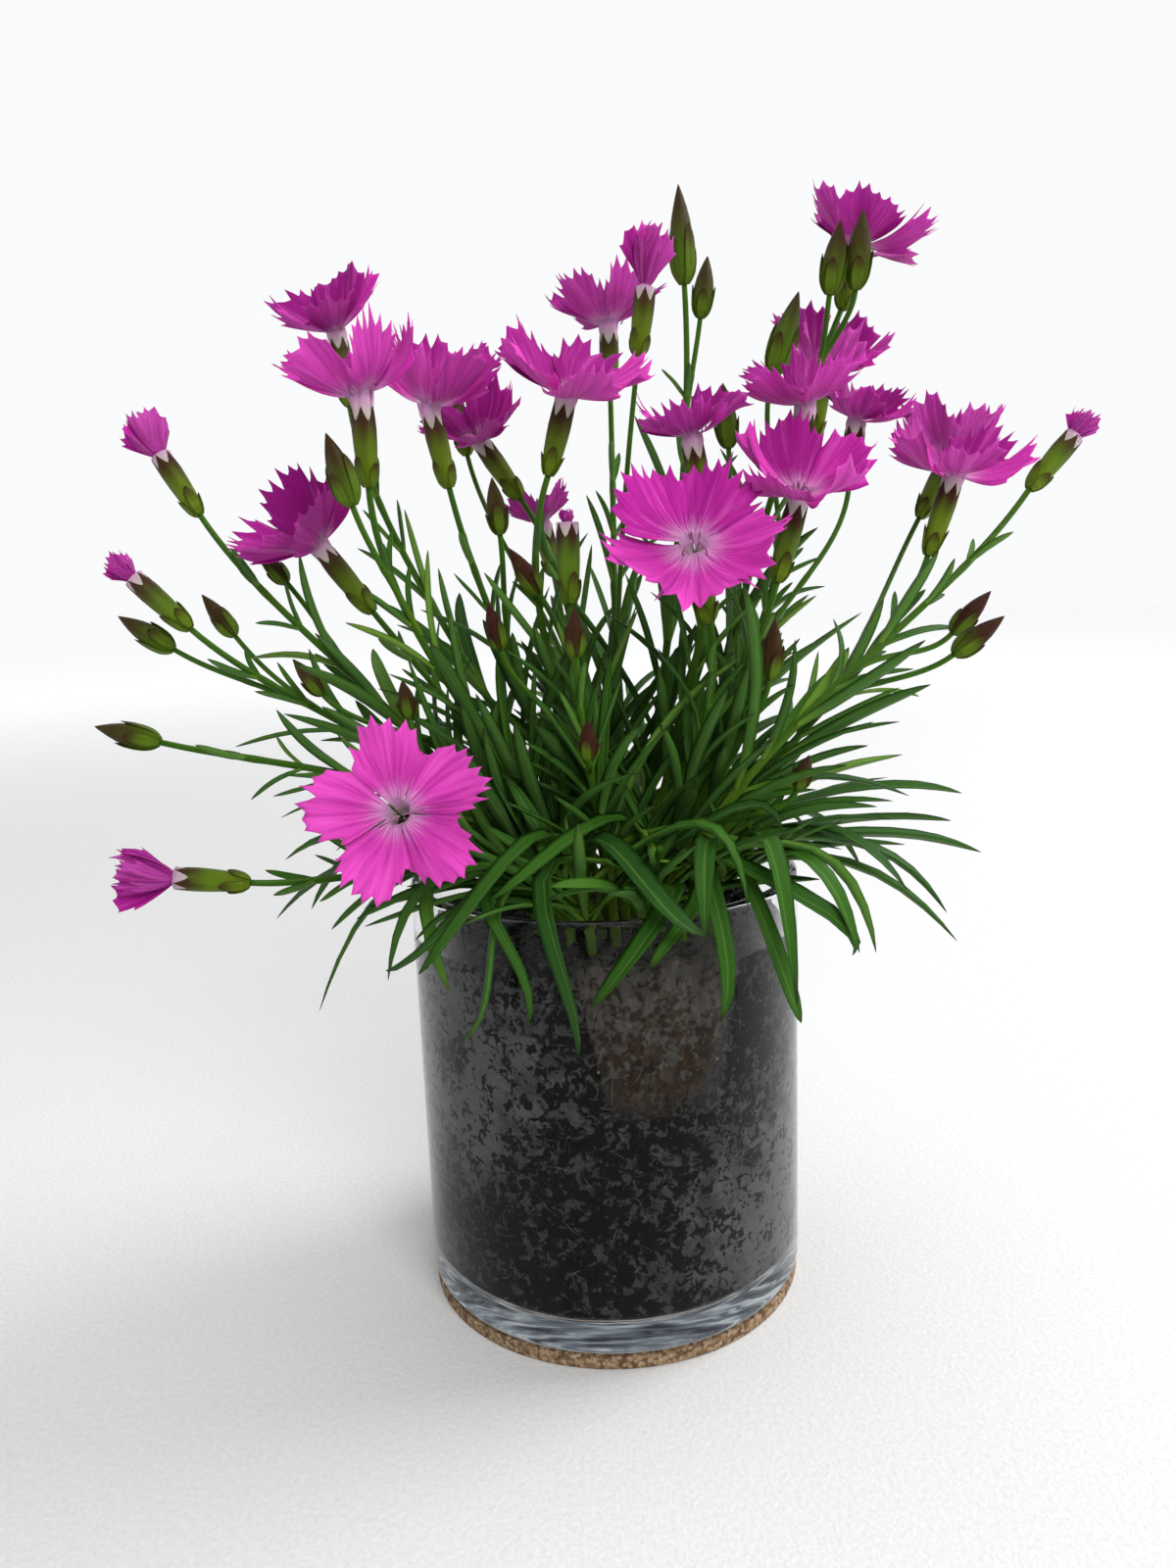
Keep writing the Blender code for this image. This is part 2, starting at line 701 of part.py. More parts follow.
def stem_leaf(owner, obstacles, path, rank, turn, rng):
    """One leaf of a pair, redrawn until it is clear of the other shoots, or None."""
    place, length, half_width, root_angle, tip_angle = LEAF_PAIRS[rank]
    rows = LEAF_ROWS if rank < LONG_PAIRS else SHORT_LEAF_ROWS
    shares = [0.0, *(share for share, _ in rows), 1.0]
    at = place * (len(path) - 1)
    i = min(int(at), len(path) - 2)
    start = path[i].lerp(path[i + 1], at - i)
    along = (path[i + 1] - path[i]).normalized()
    first_side = along.cross(Vector((0, 1, 0.2))).normalized()
    for attempt in range(LEAF_TRIES):
        loose = 0.3 + attempt / LEAF_TRIES
        spin = turn + rng.uniform(-1, 1) * loose
        away = Matrix.Rotation(spin, 3, along) @ first_side
        bend = tip_angle + rng.uniform(-22, 26)
        size = length * rng.uniform(0.78, 1.12) * (1 - 0.3 * attempt / LEAF_TRIES)
        line = bent_line(start, along, away, root_angle + rng.uniform(-8, 8), bend, size, shares)
        made = leaf_if_clear(owner, obstacles, line, along.cross(away), rows, half_width)
        if made:
            return made
    return None


def rim_leaf(owner, obstacles, start, azimuth, reach, tip_z, rise, rng):
    """One leaf that arches over the rim and hangs outside the glass."""
    shares = [0.0, *(share for share, _ in RIM_LEAF_ROWS), 1.0]
    for attempt in range(LEAF_TRIES):
        turn = math.radians(azimuth + rng.uniform(-1, 1) * attempt * 0.35)
        out = Vector((math.cos(turn), math.sin(turn), 0))
        tip = out * reach / 1000
        tip.z = (tip_z + rng.uniform(0, 0.4) * attempt) / 1000
        line = arched_line(start, tip, rise + rng.uniform(0, 0.5) * attempt, shares)
        way = line[-1] - line[0]
        side = Vector((0, 0, 1)).cross(way).normalized()
        made = leaf_if_clear(owner, obstacles, line, side, RIM_LEAF_ROWS, RIM_LEAF_HALF_WIDTH)
        if made:
            return made
    return None


def front_leaf(owner, obstacles, start, half_width, places, rng):
    """One broad leaf in front of the glass, moved outward until it is clear, or None."""
    shares = [0.0, *(share for share, _ in RIM_LEAF_ROWS), 1.0]
    for attempt in range(LEAF_TRIES):
        push = Vector((0, -1, 0.6)) * rng.uniform(0, 0.0003) * attempt
        points = [start, *(mm(*place) + push for place in places)]
        line = [curve_through(points, t) for t in shares]
        side = Vector((0, 0, 1)).cross(line[-1] - line[0]).normalized()
        made = leaf_if_clear(owner, obstacles, line, side, RIM_LEAF_ROWS, half_width / 1000)
        if made:
            return made
    return None


# Petals


def spots(count, below_edge):
    """Where a row's points lie between its two ends. Below the toothed edge, the row's own ends come first and last,
    so that every triangle there touches a point inside the outline."""
    if count == 1:
        return [0]
    if below_edge:
        return [0, *((k - 1) / (count - 2) for k in range(1, count - 1)), 1.01]
    return [k / (count - 1) for k in range(count)]


def zip_rows(shape, low, high, below_edge):
    """Triangles between two rows of points that may differ in number."""
    low_spots, high_spots = spots(len(low), below_edge), spots(len(high), False)
    i = j = 0
    while i < len(low) - 1 or j < len(high) - 1:
        low_next = low_spots[i + 1] if i < len(low) - 1 else 2
        high_next = high_spots[j + 1] if j < len(high) - 1 else 2
        if low_next <= high_next:
            shape.faces.new((low[i], low[i + 1], high[j]))
            i += 1
        else:
            shape.faces.new((low[i], high[j + 1], high[j]))
            j += 1


def petal_mesh(name, reach):
    """A fan with a toothed edge, thick in the middle and sharp along its outline, with its claw at the origin."""
    shape = bmesh.new()
    rows = [[(PETAL_ROOT, 0)]]
    for radius, half, count in PETAL_ROWS:
        rows.append([(radius, half * (2 * k / (count - 1) - 1)) for k in range(count)])
    edge = []
    for k in range(2 * PETAL_TEETH - 1):
        turn = PETAL_HALF_ANGLE * (k / (PETAL_TEETH - 1) - 1)
        radius = 1.0 - (TOOTH_DEPTH if k % 2 else 0.07 * abs(turn / PETAL_HALF_ANGLE))
        edge.append((radius * math.cos(turn), radius * math.sin(turn)))
    rows.append(edge)
    for offset in (PETAL_THICKNESS / 2, -PETAL_THICKNESS / 2):
        made = []
        for n, row in enumerate(rows):
            line = []
            for k, (x, y) in enumerate(row):
                inside = 0 < n < len(rows) - 1 and 0 < k < len(row) - 1
                rise = PETAL_ARCH * (x * x - 0.6 * y * y) * reach
                line.append(shape.verts.new((x * reach, y * reach, rise + (offset if inside else 0))))
            made.append(line)
        for n, (low, high) in enumerate(zip(made, made[1:])):
            zip_rows(shape, low, high, below_edge=n == len(made) - 2)
    bmesh.ops.remove_doubles(shape, verts=shape.verts, dist=0.00001)
    bmesh.ops.recalc_face_normals(shape, faces=shape.faces)
    mesh = bpy.data.meshes.new(name)
    shape.to_mesh(mesh)
    shape.free()
    return mesh


def make_bloom(name, head, collection, finish, obstacles):
    """Five petals on a short claw that stands in the calyx's mouth."""
    mouth = mm(*head.mouth) + head_way(head) * REST_GAP
    face = Vector(head.face).normalized() if head.face else head_way(head)
    rng = random.Random(name)
    shape = bmesh.new()
    bmesh.ops.create_cone(
        shape,
        cap_ends=True,
        segments=CALYX_SIDES,
        radius1=CLAW_FOOT_RADIUS,
        radius2=CLAW_RADIUS,
        depth=CLAW_LIFT,
        matrix=facing(mouth + head_way(head) * CLAW_LIFT / 2, head_way(head)),
    )
    mesh = bpy.data.meshes.new(name)
    shape.to_mesh(mesh)
    shape.free()
    claw = add_object(name, mesh, collection)
    root = mouth + head_way(head) * (CLAW_LIFT - CLAW_DEPTH)
    petals = []
    spin = rng.uniform(0, math.tau)
    reach = head.spread / 2000 / math.cos(math.radians(head.cup))
    blade_mesh = petal_mesh(f"{name}_petal", reach)
    for k in range(PETALS):
        turn = Matrix.Rotation(spin + math.tau * k / PETALS + rng.uniform(-0.04, 0.04), 4, "Z")
        cup = math.radians(head.cup + rng.uniform(-1, 1) * PETAL_CUP_SPREAD)
        rise = Matrix.Rotation(-cup, 4, "Y")
        roll = Matrix.Rotation(rng.uniform(-0.12, 0.12), 4, "X")
        narrow = Matrix.Scale(math.cos(cup), 4, (0, 1, 0))
        petal = add_object(f"{name}_petal_{k}", blade_mesh, collection)
        petal.matrix_world = facing(root, face) @ turn @ rise @ roll @ narrow
        petals.append(petal)
    bpy.context.view_layer.update()
    for piece in (claw, *petals):
        obstacles.add(name, *world_shape(piece))
    join_repeats(claw, petals)
    set_material(claw, finish)


def make_opening(name, head, collection, finish, obstacles):
    """The tuft of petals of an opening bud: a flared cone with a ragged edge."""
    shape = bmesh.new()
    tall = head.tall / 1000
    bmesh.ops.create_cone(
        shape,
        cap_ends=True,
        segments=OPENING_SIDES,
        radius1=CLAW_FOOT_RADIUS,
        radius2=head.spread / 2000,
        depth=tall,
    )
    rng = random.Random(name)
    for vertex in shape.verts:
        if vertex.co.z > 0:
            vertex.co.z -= tall * rng.uniform(0.0, 0.3)
            vertex.co.xy = vertex.co.xy * rng.uniform(0.75, 1.0)
        vertex.co.z += tall / 2
    mesh = bpy.data.meshes.new(name)
    shape.to_mesh(mesh)
    shape.free()
    tuft = add_object(name, mesh, collection, finish)
    tuft.matrix_world = facing(mm(*head.mouth) + head_way(head) * REST_GAP, head_way(head))
    bpy.context.view_layer.update()
    obstacles.add(name, *world_shape(tuft))


# The whole plant


def make_plant(collection):
    obstacles = Obstacles()
    for name in ("glass_pot", "potting_soil"):
        obstacles.add(name, *world_shape(bpy.data.objects[name]))
    plug = add_object("plug_guide", plug_mesh("plug_guide"), collection)
    obstacles.add("root_plug", *world_shape(plug))
    bpy.data.objects.remove(plug)
    green = material("leaf green", (0.07, 0.19, 0.05), 0.55)
    magenta = material("petal magenta", (0.62, 0.06, 0.42), 0.6)
    shapes = {
        "calyx": turned_mesh("calyx", CALYX_PROFILE, CALYX_SIDES),
        "bud": turned_mesh("bud", BUD_PROFILE, CALYX_SIDES),
    }

    # Blooms go in first, so that stems and leaves keep clear of the petals
    blooms = openings = 0
    for heads in SHOOTS.values():
        for head in heads:
            if head.kind == "bloom":
                blooms += 1
                make_bloom(f"bloom_{blooms:02d}", head, collection, magenta, obstacles)
            elif head.kind == "opening":
                openings += 1
                make_opening(f"opening_bud_{openings:02d}", head, collection, magenta, obstacles)

    slots = crown_slots()
    stems, repeats, paths, places = {}, {}, {}, []

    def root_stem(name, wished, foot, end_way, tip=None):
        rng = random.Random(name)
        slot = take_slot(slots, wished)
        places.append(slot)
        start = Vector((*slot, STEM_FREE_Z))
        lean = Vector((foot.x - slot.x, foot.y - slot.y, 0)) * 0.25
        start_way = (lean / max(lean.length, 0.01) * 0.35 + Vector((0, 0, 1))).normalized()
        path = clear_path(name, obstacles, start, start_way, foot, end_way, rng, tip)
        obstacles.add(name, *square_tube(path, STEM_ROOT_RADIUS + LEAF_CLEARANCE))
        full = [Vector((*slot, STEM_FOOT_Z)), *path]
        stems[name] = stem_object(name, full, STEM_ROOT_RADIUS, STALK_RADIUS, collection)
        repeats[name] = []
        paths[name] = path
        return rng

    for azimuth in TUFT_AZIMUTHS:
        name = f"tuft_{azimuth:03d}"
        turn = math.radians(azimuth)
        out = Vector((math.cos(turn), math.sin(turn)))
        wished = CROWN + out * CROWN_RADIUS
        top = Vector((*(wished + out * TUFT_LEAN), STEM_FREE_Z + TUFT_HEIGHT))
        root_stem(name, wished, top, Vector((*out, 1.2)).normalized())

    for shoot, heads in SHOOTS.items():
        name = f"shoot_{shoot}"
        main = heads[0]
        foot = mm(*main.foot)
        wished = CROWN + (foot.xy - CROWN) * 0.26
        rng = root_stem(name, wished, foot, head_way(main))
        for head in heads:
            end = stalk_end(head, shapes, collection)
            repeats[name].append(end)
            bpy.context.view_layer.update()
            obstacles.add(name, *world_shape(end))
            if not head.fork:
                continue
            at = head.fork * STEM_STEPS
            i = int(at)
            fork = paths[name][i].lerp(paths[name][i + 1], at - i)
            way = (paths[name][i + 1] - paths[name][i]).normalized()
            branch = clear_path(name, obstacles, fork, way, mm(*head.foot), head_way(head), rng)
            obstacles.add(name, *square_tube(branch, STALK_RADIUS + LEAF_CLEARANCE))
            repeats[name].append(stem_object("branch", branch, STALK_RADIUS, STALK_RADIUS * 0.9, collection))

    # The leaves in front of the glass come first, then the others at the rim, the tufts' own, and the pairs
    for number, (tuft, half_width, *passes) in enumerate(FRONT_LEAVES):
        name = f"tuft_{tuft:03d}"
        rng = random.Random(f"{name}_front_{number}")
        mesh = front_leaf(name, obstacles, paths[name][2 + number % 3], half_width, passes, rng)
        if mesh:
            repeats[name].append(add_object("leaf", mesh, collection))
    for azimuth, reach, tip_z, rise in RIM_LEAVES:
        nearest = min(TUFT_AZIMUTHS, key=lambda a: abs((a - azimuth + 180) % 360 - 180))
        name = f"tuft_{nearest:03d}"
        rng = random.Random(f"{name}_{azimuth}")
        start = paths[name][2 + azimuth % 3]
        mesh = rim_leaf(name, obstacles, start, azimuth, reach, tip_z, rise, rng)
        if mesh:
            repeats[name].append(add_object("leaf", mesh, collection))
    for tuft, azimuth, reach, tip_z, rise in CROSSING_LEAVES:
        name = f"tuft_{tuft:03d}"
        rng = random.Random(f"{name}_crossing_{azimuth}")
        start = paths[name][1 + azimuth % 4]
        mesh = rim_leaf(name, obstacles, start, azimuth, reach, tip_z, rise, rng)
        if mesh:
            repeats[name].append(add_object("leaf", mesh, collection))

    for rank in range(len(LEAF_PAIRS)):
        for name, path in paths.items():
            if name.startswith("tuft"):
                continue
            rng = random.Random(f"{name}_{rank}")
            turn = rng.uniform(-0.4, 0.4) + rank * math.pi / 2
            for partner in range(2):
                mesh = stem_leaf(name, obstacles, path, rank, turn + math.pi * partner, rng)
                if mesh:
                    repeats[name].append(add_object("leaf", mesh, collection))
    for azimuth in TUFT_AZIMUTHS:
        name = f"tuft_{azimuth:03d}"
        rng = random.Random(f"{name}_leaves")
        for k in range(TUFT_LEAVES):
            mesh = stem_leaf(name, obstacles, paths[name], k % 3 + 1, k * math.pi / 3, rng)
            if mesh:
                repeats[name].append(add_object("leaf", mesh, collection))
    for name, stem in stems.items():
        join_repeats(stem, repeats[name])
        set_material(stem, green)
    return places


def main():
    for old in list(bpy.data.objects):
        bpy.data.objects.remove(old)
    plant = bpy.data.collections.new("dianthus_plant")
    bpy.context.scene.collection.children.link(plant)
    make_cork(plant)
    make_glass(plant)
    make_soil(plant)
    places = make_plant(plant)
    make_plug(plant, places)


main()
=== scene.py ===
# %% [markdown]
# # A dianthus in a clear glass pot
#
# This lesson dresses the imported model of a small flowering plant. The model, called the frame, holds
# every stem, bloom and tuft as a plain solid, in metres, with the front of the plant towards -Y. Each
# cell below makes one thing finer, puts it where its solid stands, and says why it is made that way.

# %% The frame
import math
import random
from dataclasses import dataclass

import bpy
import numpy as np
from mathutils import Matrix, Vector, noise
from mathutils.bvhtree import BVHTree


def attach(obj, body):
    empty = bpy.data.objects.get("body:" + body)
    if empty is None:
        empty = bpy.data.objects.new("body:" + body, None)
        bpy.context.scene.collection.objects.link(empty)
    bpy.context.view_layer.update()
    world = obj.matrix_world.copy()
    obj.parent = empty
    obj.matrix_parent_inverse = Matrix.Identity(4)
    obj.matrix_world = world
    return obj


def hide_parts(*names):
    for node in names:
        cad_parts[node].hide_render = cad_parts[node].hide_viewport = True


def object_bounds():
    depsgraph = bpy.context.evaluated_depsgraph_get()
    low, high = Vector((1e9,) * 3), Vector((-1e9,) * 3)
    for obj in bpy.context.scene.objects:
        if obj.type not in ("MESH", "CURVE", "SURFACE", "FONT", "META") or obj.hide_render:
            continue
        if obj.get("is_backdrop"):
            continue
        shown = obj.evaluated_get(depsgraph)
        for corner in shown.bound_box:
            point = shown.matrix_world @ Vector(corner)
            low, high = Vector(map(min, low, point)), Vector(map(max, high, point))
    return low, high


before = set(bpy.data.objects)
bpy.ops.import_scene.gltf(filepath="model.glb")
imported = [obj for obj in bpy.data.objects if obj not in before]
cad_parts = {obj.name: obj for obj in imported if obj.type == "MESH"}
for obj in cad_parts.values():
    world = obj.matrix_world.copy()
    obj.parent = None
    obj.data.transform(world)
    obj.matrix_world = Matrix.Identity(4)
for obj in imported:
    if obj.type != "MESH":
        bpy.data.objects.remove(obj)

CAD_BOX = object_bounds()
print(len(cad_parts), "solids between", [tuple(round(v, 3) for v in corner) for corner in CAD_BOX])

# %% [markdown]
# ## Camera
#
# The photograph was taken with a phone held close to the pot and tipped down a little. A short lens close
# by makes the near leaves large and the pot narrower at its foot, so the distance matters as much as the
# direction does.

# %% Camera
CAMERA_PLACE = Vector((0, -0.26876, 0.17185))
CAMERA_DOWN, CAMERA_TURN, CAMERA_TILT = (math.radians(a) for a in (10.98, -0.61, -2.10))
CAMERA_LENS = 27.05
SENSOR_WIDTH = 36
NEAR_CLIP = 0.01


def look_matrix(place, down, turn, tilt):
    """A camera's matrix from where it stands, how far it tips down, turns aside and tilts."""
    ahead = Vector((math.sin(turn) * math.cos(down), math.cos(turn) * math.cos(down), -math.sin(down)))
    level = Vector((math.cos(turn), -math.sin(turn), 0))
    up = level.cross(ahead)
    right = level * math.cos(tilt) + up * math.sin(tilt)
    top = up * math.cos(tilt) - level * math.sin(tilt)
    matrix = Matrix((right, top, -ahead)).transposed().to_4x4()
    matrix.translation = place
    return matrix


camera = bpy.data.objects.new("camera", bpy.data.cameras.new("camera"))
camera.data.lens = CAMERA_LENS
camera.data.sensor_width = SENSOR_WIDTH
camera.data.clip_start = NEAR_CLIP
camera.matrix_world = look_matrix(CAMERA_PLACE, CAMERA_DOWN, CAMERA_TURN, CAMERA_TILT)
bpy.context.scene.collection.objects.link(camera)
bpy.context.scene.camera = camera
print("camera at", tuple(round(v, 3) for v in camera.location))

# %% [markdown]
# ## Finishes, made node by node
#
# A finish is a graph of nodes that ends in one Principled shader. The small class below names the few
# nodes that every finish here needs: noise for grain, cells for crumbs, a ramp for colours and a bump for
# relief. Meshes also carry marks, numbers kept at each point, such as how far along a leaf the point
# lies. A finish that reads a mark can make the tip of every leaf dark, however the leaf is bent.

# %% Finish helper
class Finish:
    """A material whose nodes are added by short calls."""

    def __init__(self, name, roughness, **sockets):
        self.material = bpy.data.materials.new(name)
        self.material.use_nodes = True
        self.nodes = self.material.node_tree.nodes
        self.links = self.material.node_tree.links
        self.shader = self.nodes["Principled BSDF"]
        self.set("Roughness", roughness)
        for socket, value in sockets.items():
            self.set(socket.replace("_", " "), value)

    def feed(self, socket, value):
        if isinstance(value, bpy.types.NodeSocket):
            self.links.new(value, socket)
        elif socket.type == "RGBA" and len(value) == 3:
            socket.default_value = (*value, 1)
        else:
            socket.default_value = value

    def set(self, socket, value):
        self.feed(self.shader.inputs[socket], value)

    def node(self, kind, inputs, **settings):
        made = self.nodes.new(f"ShaderNode{kind}")
        for key, value in settings.items():
            setattr(made, key, value)
        for key, value in inputs.items():
            self.feed(made.inputs[key], value)
        return made

    def mark(self, name):
        return self.node("Attribute", {}, attribute_name=name).outputs["Fac"]

    def place(self, stretch=(1, 1, 1)):
        """Where the point is on the object, in metres, with each axis stretched."""
        spot = self.node("TexCoord", {}).outputs["Object"]
        return self.node("Mapping", {"Vector": spot, "Scale": stretch}).outputs["Vector"]

    def blade_place(self, across, along):
        """A place that runs with the blade, for veins: it is stretched across and along."""
        spot = {"X": self.maths("MULTIPLY", self.mark("across"), across)}
        spot["Y"] = self.maths("MULTIPLY", self.mark("along"), along)
        spot["Z"] = self.maths("MULTIPLY", self.mark("tint"), 40.0)
        return self.node("CombineXYZ", spot).outputs["Vector"]

    def grain(self, where, scale, detail=3.0, rough=0.6):
        inputs = {"Vector": where, "Scale": scale, "Detail": detail, "Roughness": rough}
        return self.node("TexNoise", inputs).outputs["Fac"]

    def cells(self, where, scale, output="Distance", feature="F1"):
        return self.node("TexVoronoi", {"Vector": where, "Scale": scale}, feature=feature).outputs[output]

    def maths(self, operation, first, second=0.5):
        return self.node("Math", {0: first, 1: second}, operation=operation).outputs[0]

    def spread(self, value, low, high, to_low=0.0, to_high=1.0):
        inputs = {"Value": value, "From Min": low, "From Max": high, "To Min": to_low, "To Max": to_high}
        return self.node("MapRange", inputs, interpolation_type="SMOOTHSTEP").outputs[0]

    def ramp(self, value, *stops):
        made = self.node("ValToRGB", {"Fac": value})
        while len(made.color_ramp.elements) < len(stops):
            made.color_ramp.elements.new(0.5)
        for element, (at, colour) in zip(made.color_ramp.elements, stops):
            element.position = at
            element.color = (*colour, 1)
        return made.outputs["Color"]

    def blend(self, share, first, second, kind="MIX"):
        inputs = {0: share, 6: first, 7: second}
        return self.node("Mix", inputs, data_type="RGBA", blend_type=kind).outputs[2]

    def paint(self, colour):
        self.set("Base Color", colour)

    def relief(self, height, depth):
        """Bump from a height, as deep in metres as depth says."""
        self.set("Normal", self.node("Bump", {"Height": height, "Distance": depth}).outputs["Normal"])


print("finish helper ready")

# %% [markdown]
# ## Floor and light
#
# The plant stands on a white cloth in a bright room. A wide pale floor and a pale sky give the even
# light. The sky is darker on the side that the photograph was taken from, as a room is, because the glass
# mirrors that side, and a white one would lie over the black soil like milk. A large soft lamp at the
# right and behind stands for the window, and others fill the front and the top. Far from the pot the
# cloth glows a little, so that it runs into the pale sky without a line, as the cloth behind the plant
# does in the photograph.

# %% Floor and light
FLOOR_SIZE = 3.0
FLOOR_GLOW = 0.50
GLOW_FROM, GLOW_TO = 0.3, 1.7
SKY_COLOUR = (0.985, 0.992, 1.0)
SKY_BEHIND = 0.97
SKY_IN_FRONT = 0.32
SKY_FROM, SKY_TO = -0.4, 0.7
# each lamp's place, size and power
LAMPS = {
    "window": ((0.85, 0.30, 0.85), 0.6, 9.0),
    "front_fill": ((0.40, -1.10, 0.95), 0.7, 13.0),
    "top": ((0.0, -0.1, 1.3), 0.7, 2.0),
}
LAMP_AIM = Vector((0, 0, 0.12))
WEAVE_SCALE = 900.0
WEAVE_DEPTH = 0.0002


def make_lamp(name, place, size, power):
    lamp = bpy.data.objects.new(name, bpy.data.lights.new(name, "AREA"))
    lamp.data.size = size
    lamp.data.energy = power
    lamp.location = place
    lamp.rotation_euler = (LAMP_AIM - lamp.location).to_track_quat("-Z", "Y").to_euler()
    bpy.context.scene.collection.objects.link(lamp)


for lamp_name, lamp_values in LAMPS.items():
    make_lamp(lamp_name, *lamp_values)

sky = bpy.data.worlds.new("pale_room")
sky.use_nodes = True
sky.node_tree.nodes["Background"].inputs["Color"].default_value = (*SKY_COLOUR, 1)
sky_nodes, sky_links = sky.node_tree.nodes, sky.node_tree.links
sky_way = sky_nodes.new("ShaderNodeSeparateXYZ")
sky_fall = sky_nodes.new("ShaderNodeMapRange")
sky_fall.interpolation_type = "SMOOTHSTEP"
sky_ends = {"From Min": SKY_FROM, "From Max": SKY_TO, "To Min": SKY_IN_FRONT, "To Max": SKY_BEHIND}
for socket, value in sky_ends.items():
    sky_fall.inputs[socket].default_value = value
sky_links.new(sky_nodes.new("ShaderNodeTexCoord").outputs["Generated"], sky_way.inputs["Vector"])
sky_links.new(sky_way.outputs["Y"], sky_fall.inputs["Value"])
sky_links.new(sky_fall.outputs["Result"], sky_nodes["Background"].inputs["Strength"])
bpy.context.scene.world = sky
bpy.context.scene.view_settings.view_transform = "Standard"

cloth = Finish("white_cloth", 0.9)
weave = cloth.grain(cloth.place(), WEAVE_SCALE, 2.0)
cloth.paint(cloth.ramp(weave, (0.3, (0.67, 0.67, 0.67)), (0.7, (0.74, 0.74, 0.74))))
cloth.relief(weave, WEAVE_DEPTH)
distance = cloth.node("VectorMath", {0: cloth.place()}, operation="LENGTH").outputs["Value"]
cloth.set("Emission Color", SKY_COLOUR)
cloth.set("Emission Strength", cloth.spread(distance, GLOW_FROM, GLOW_TO, 0.0, FLOOR_GLOW))
bpy.ops.mesh.primitive_circle_add(vertices=96, radius=FLOOR_SIZE, fill_type="NGON")
floor = bpy.context.object
floor.name = "floor"
floor.data.materials.append(cloth.material)
floor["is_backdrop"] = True
print(len(LAMPS), "lamps, floor", 2 * FLOOR_SIZE, "m across")

# %% [markdown]
# ## Skins
#
# Every form here, from the glass to a petal, is a stack of rings joined side to side: a loft. A skin
# gathers many lofts into one mesh, with their marks, and then becomes one piece that rides on the frame
# and stands for its solid.

# %% Skin helper
def smooth(low, high, value):
    """0 below low, 1 above high, and a soft slope between."""
    t = np.clip((np.asarray(value, float) - low) / (high - low), 0, 1)
    return t * t * (3 - 2 * t)


class Skin:
    """Gathers lofts into one mesh. Marks are numbers kept at each point for the finishes to read."""

    def __init__(self):
        self.points, self.faces, self.slots, self.marks = [], [], [], []
        self.count = 0

    def add(self, points, faces, slots=0, **marks):
        points = np.asarray(points, float).reshape(-1, 3)
        self.points.append(points)
        self.faces += [tuple(i + self.count for i in face) for face in faces]
        self.slots += [slots] * len(faces) if isinstance(slots, int) else list(slots)
        shape = (len(points),)
        flat = {name: np.asarray(value, float).reshape(-1) for name, value in marks.items()}
        self.marks.append({name: np.broadcast_to(value, shape) for name, value in flat.items()})
        self.count += len(points)

    def loft(self, rings, slot=0, caps=(True, True), **marks):
        """Adds rings, an array of rows by columns by 3. A mark is one number, one a row, or one a point."""
        rows, columns = rings.shape[:2]
        faces = []
        for row in range(rows - 1):
            a = row * columns
            faces += [(a + k, a + (k + 1) % columns, a + columns + (k + 1) % columns, a + columns + k)
                      for k in range(columns)]
        if caps[0]:
            faces.append(tuple(range(columns - 1, -1, -1)))
        if caps[1]:
            faces.append(tuple(range((rows - 1) * columns, rows * columns)))
        full = {}
        for name, value in marks.items():
            value = np.asarray(value, float)
            if value.ndim == 1:
                value = value[:, None]
            full[name] = np.broadcast_to(value, (rows, columns))
        self.add(rings, faces, slot, **full)

    def piece(self, name, finishes, *replaced, slot=None):
        """Makes the mesh, rides it on the frame and lets it stand for the replaced solids."""
        mesh = bpy.data.meshes.new(name)
        mesh.from_pydata(np.concatenate(self.points).tolist(), [], self.faces)
        for mark in sorted({k for marks in self.marks for k in marks}):
            parts = [m.get(mark, np.zeros(len(p))) for m, p in zip(self.marks, self.points)]
            layer = mesh.attributes.new(mark, "FLOAT", "POINT")
            layer.data.foreach_set("value", np.concatenate(parts).astype(np.float32))
        for finish in finishes:
            mesh.materials.append(finish.material)
        mesh.polygons.foreach_set("material_index", np.array(self.slots, np.int32))
        mesh.shade_smooth()
        made = bpy.data.objects.new(name, mesh)
        bpy.context.scene.collection.objects.link(made)
        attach(made, "root")
        if replaced:
            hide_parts(*replaced)
        return made


def turned(profile, sides):
    """Rings of a turned form from (radius, height) pairs."""
    profile = np.array(profile, float)
    turn = np.linspace(0, math.tau, sides, endpoint=False)
    rings = np.empty((len(profile), sides, 3))
    rings[:, :, 0] = profile[:, :1] * np.cos(turn)
    rings[:, :, 1] = profile[:, :1] * np.sin(turn)
    rings[:, :, 2] = profile[:, 1:]
    return rings


def arc(centre_r, centre_z, radius, start, end, steps):
    """(radius, height) pairs along an arc, from one angle to another in degrees."""
    angles = np.radians(np.linspace(start, end, steps))
    return [(centre_r + radius * math.cos(a), centre_z + radius * math.sin(a)) for a in angles]


print("skin helper ready")

# %% [markdown]
# ## Cork disc
#
# The disc is pressed from cork crumbs of 1 to 2 mm. Cells of that size, each in its own brown, give the
# crumbs, a second set gives the dark bark between them, and both sink a little, so the edge looks open
# and dry.

# %% Cork
CORK_RADIUS = 0.0445
CORK_THICKNESS = 0.003
CORK_EDGE = 0.0005
CORK_SIDES = 128
CORK_CELLS = 900.0
CORK_SPECKS = 2600.0
CORK_RELIEF = 0.0006
# how close a turned form comes to its axis before its cap closes it
CORK_MIDDLE = 0.002
GLASS_MIDDLE = 0.001

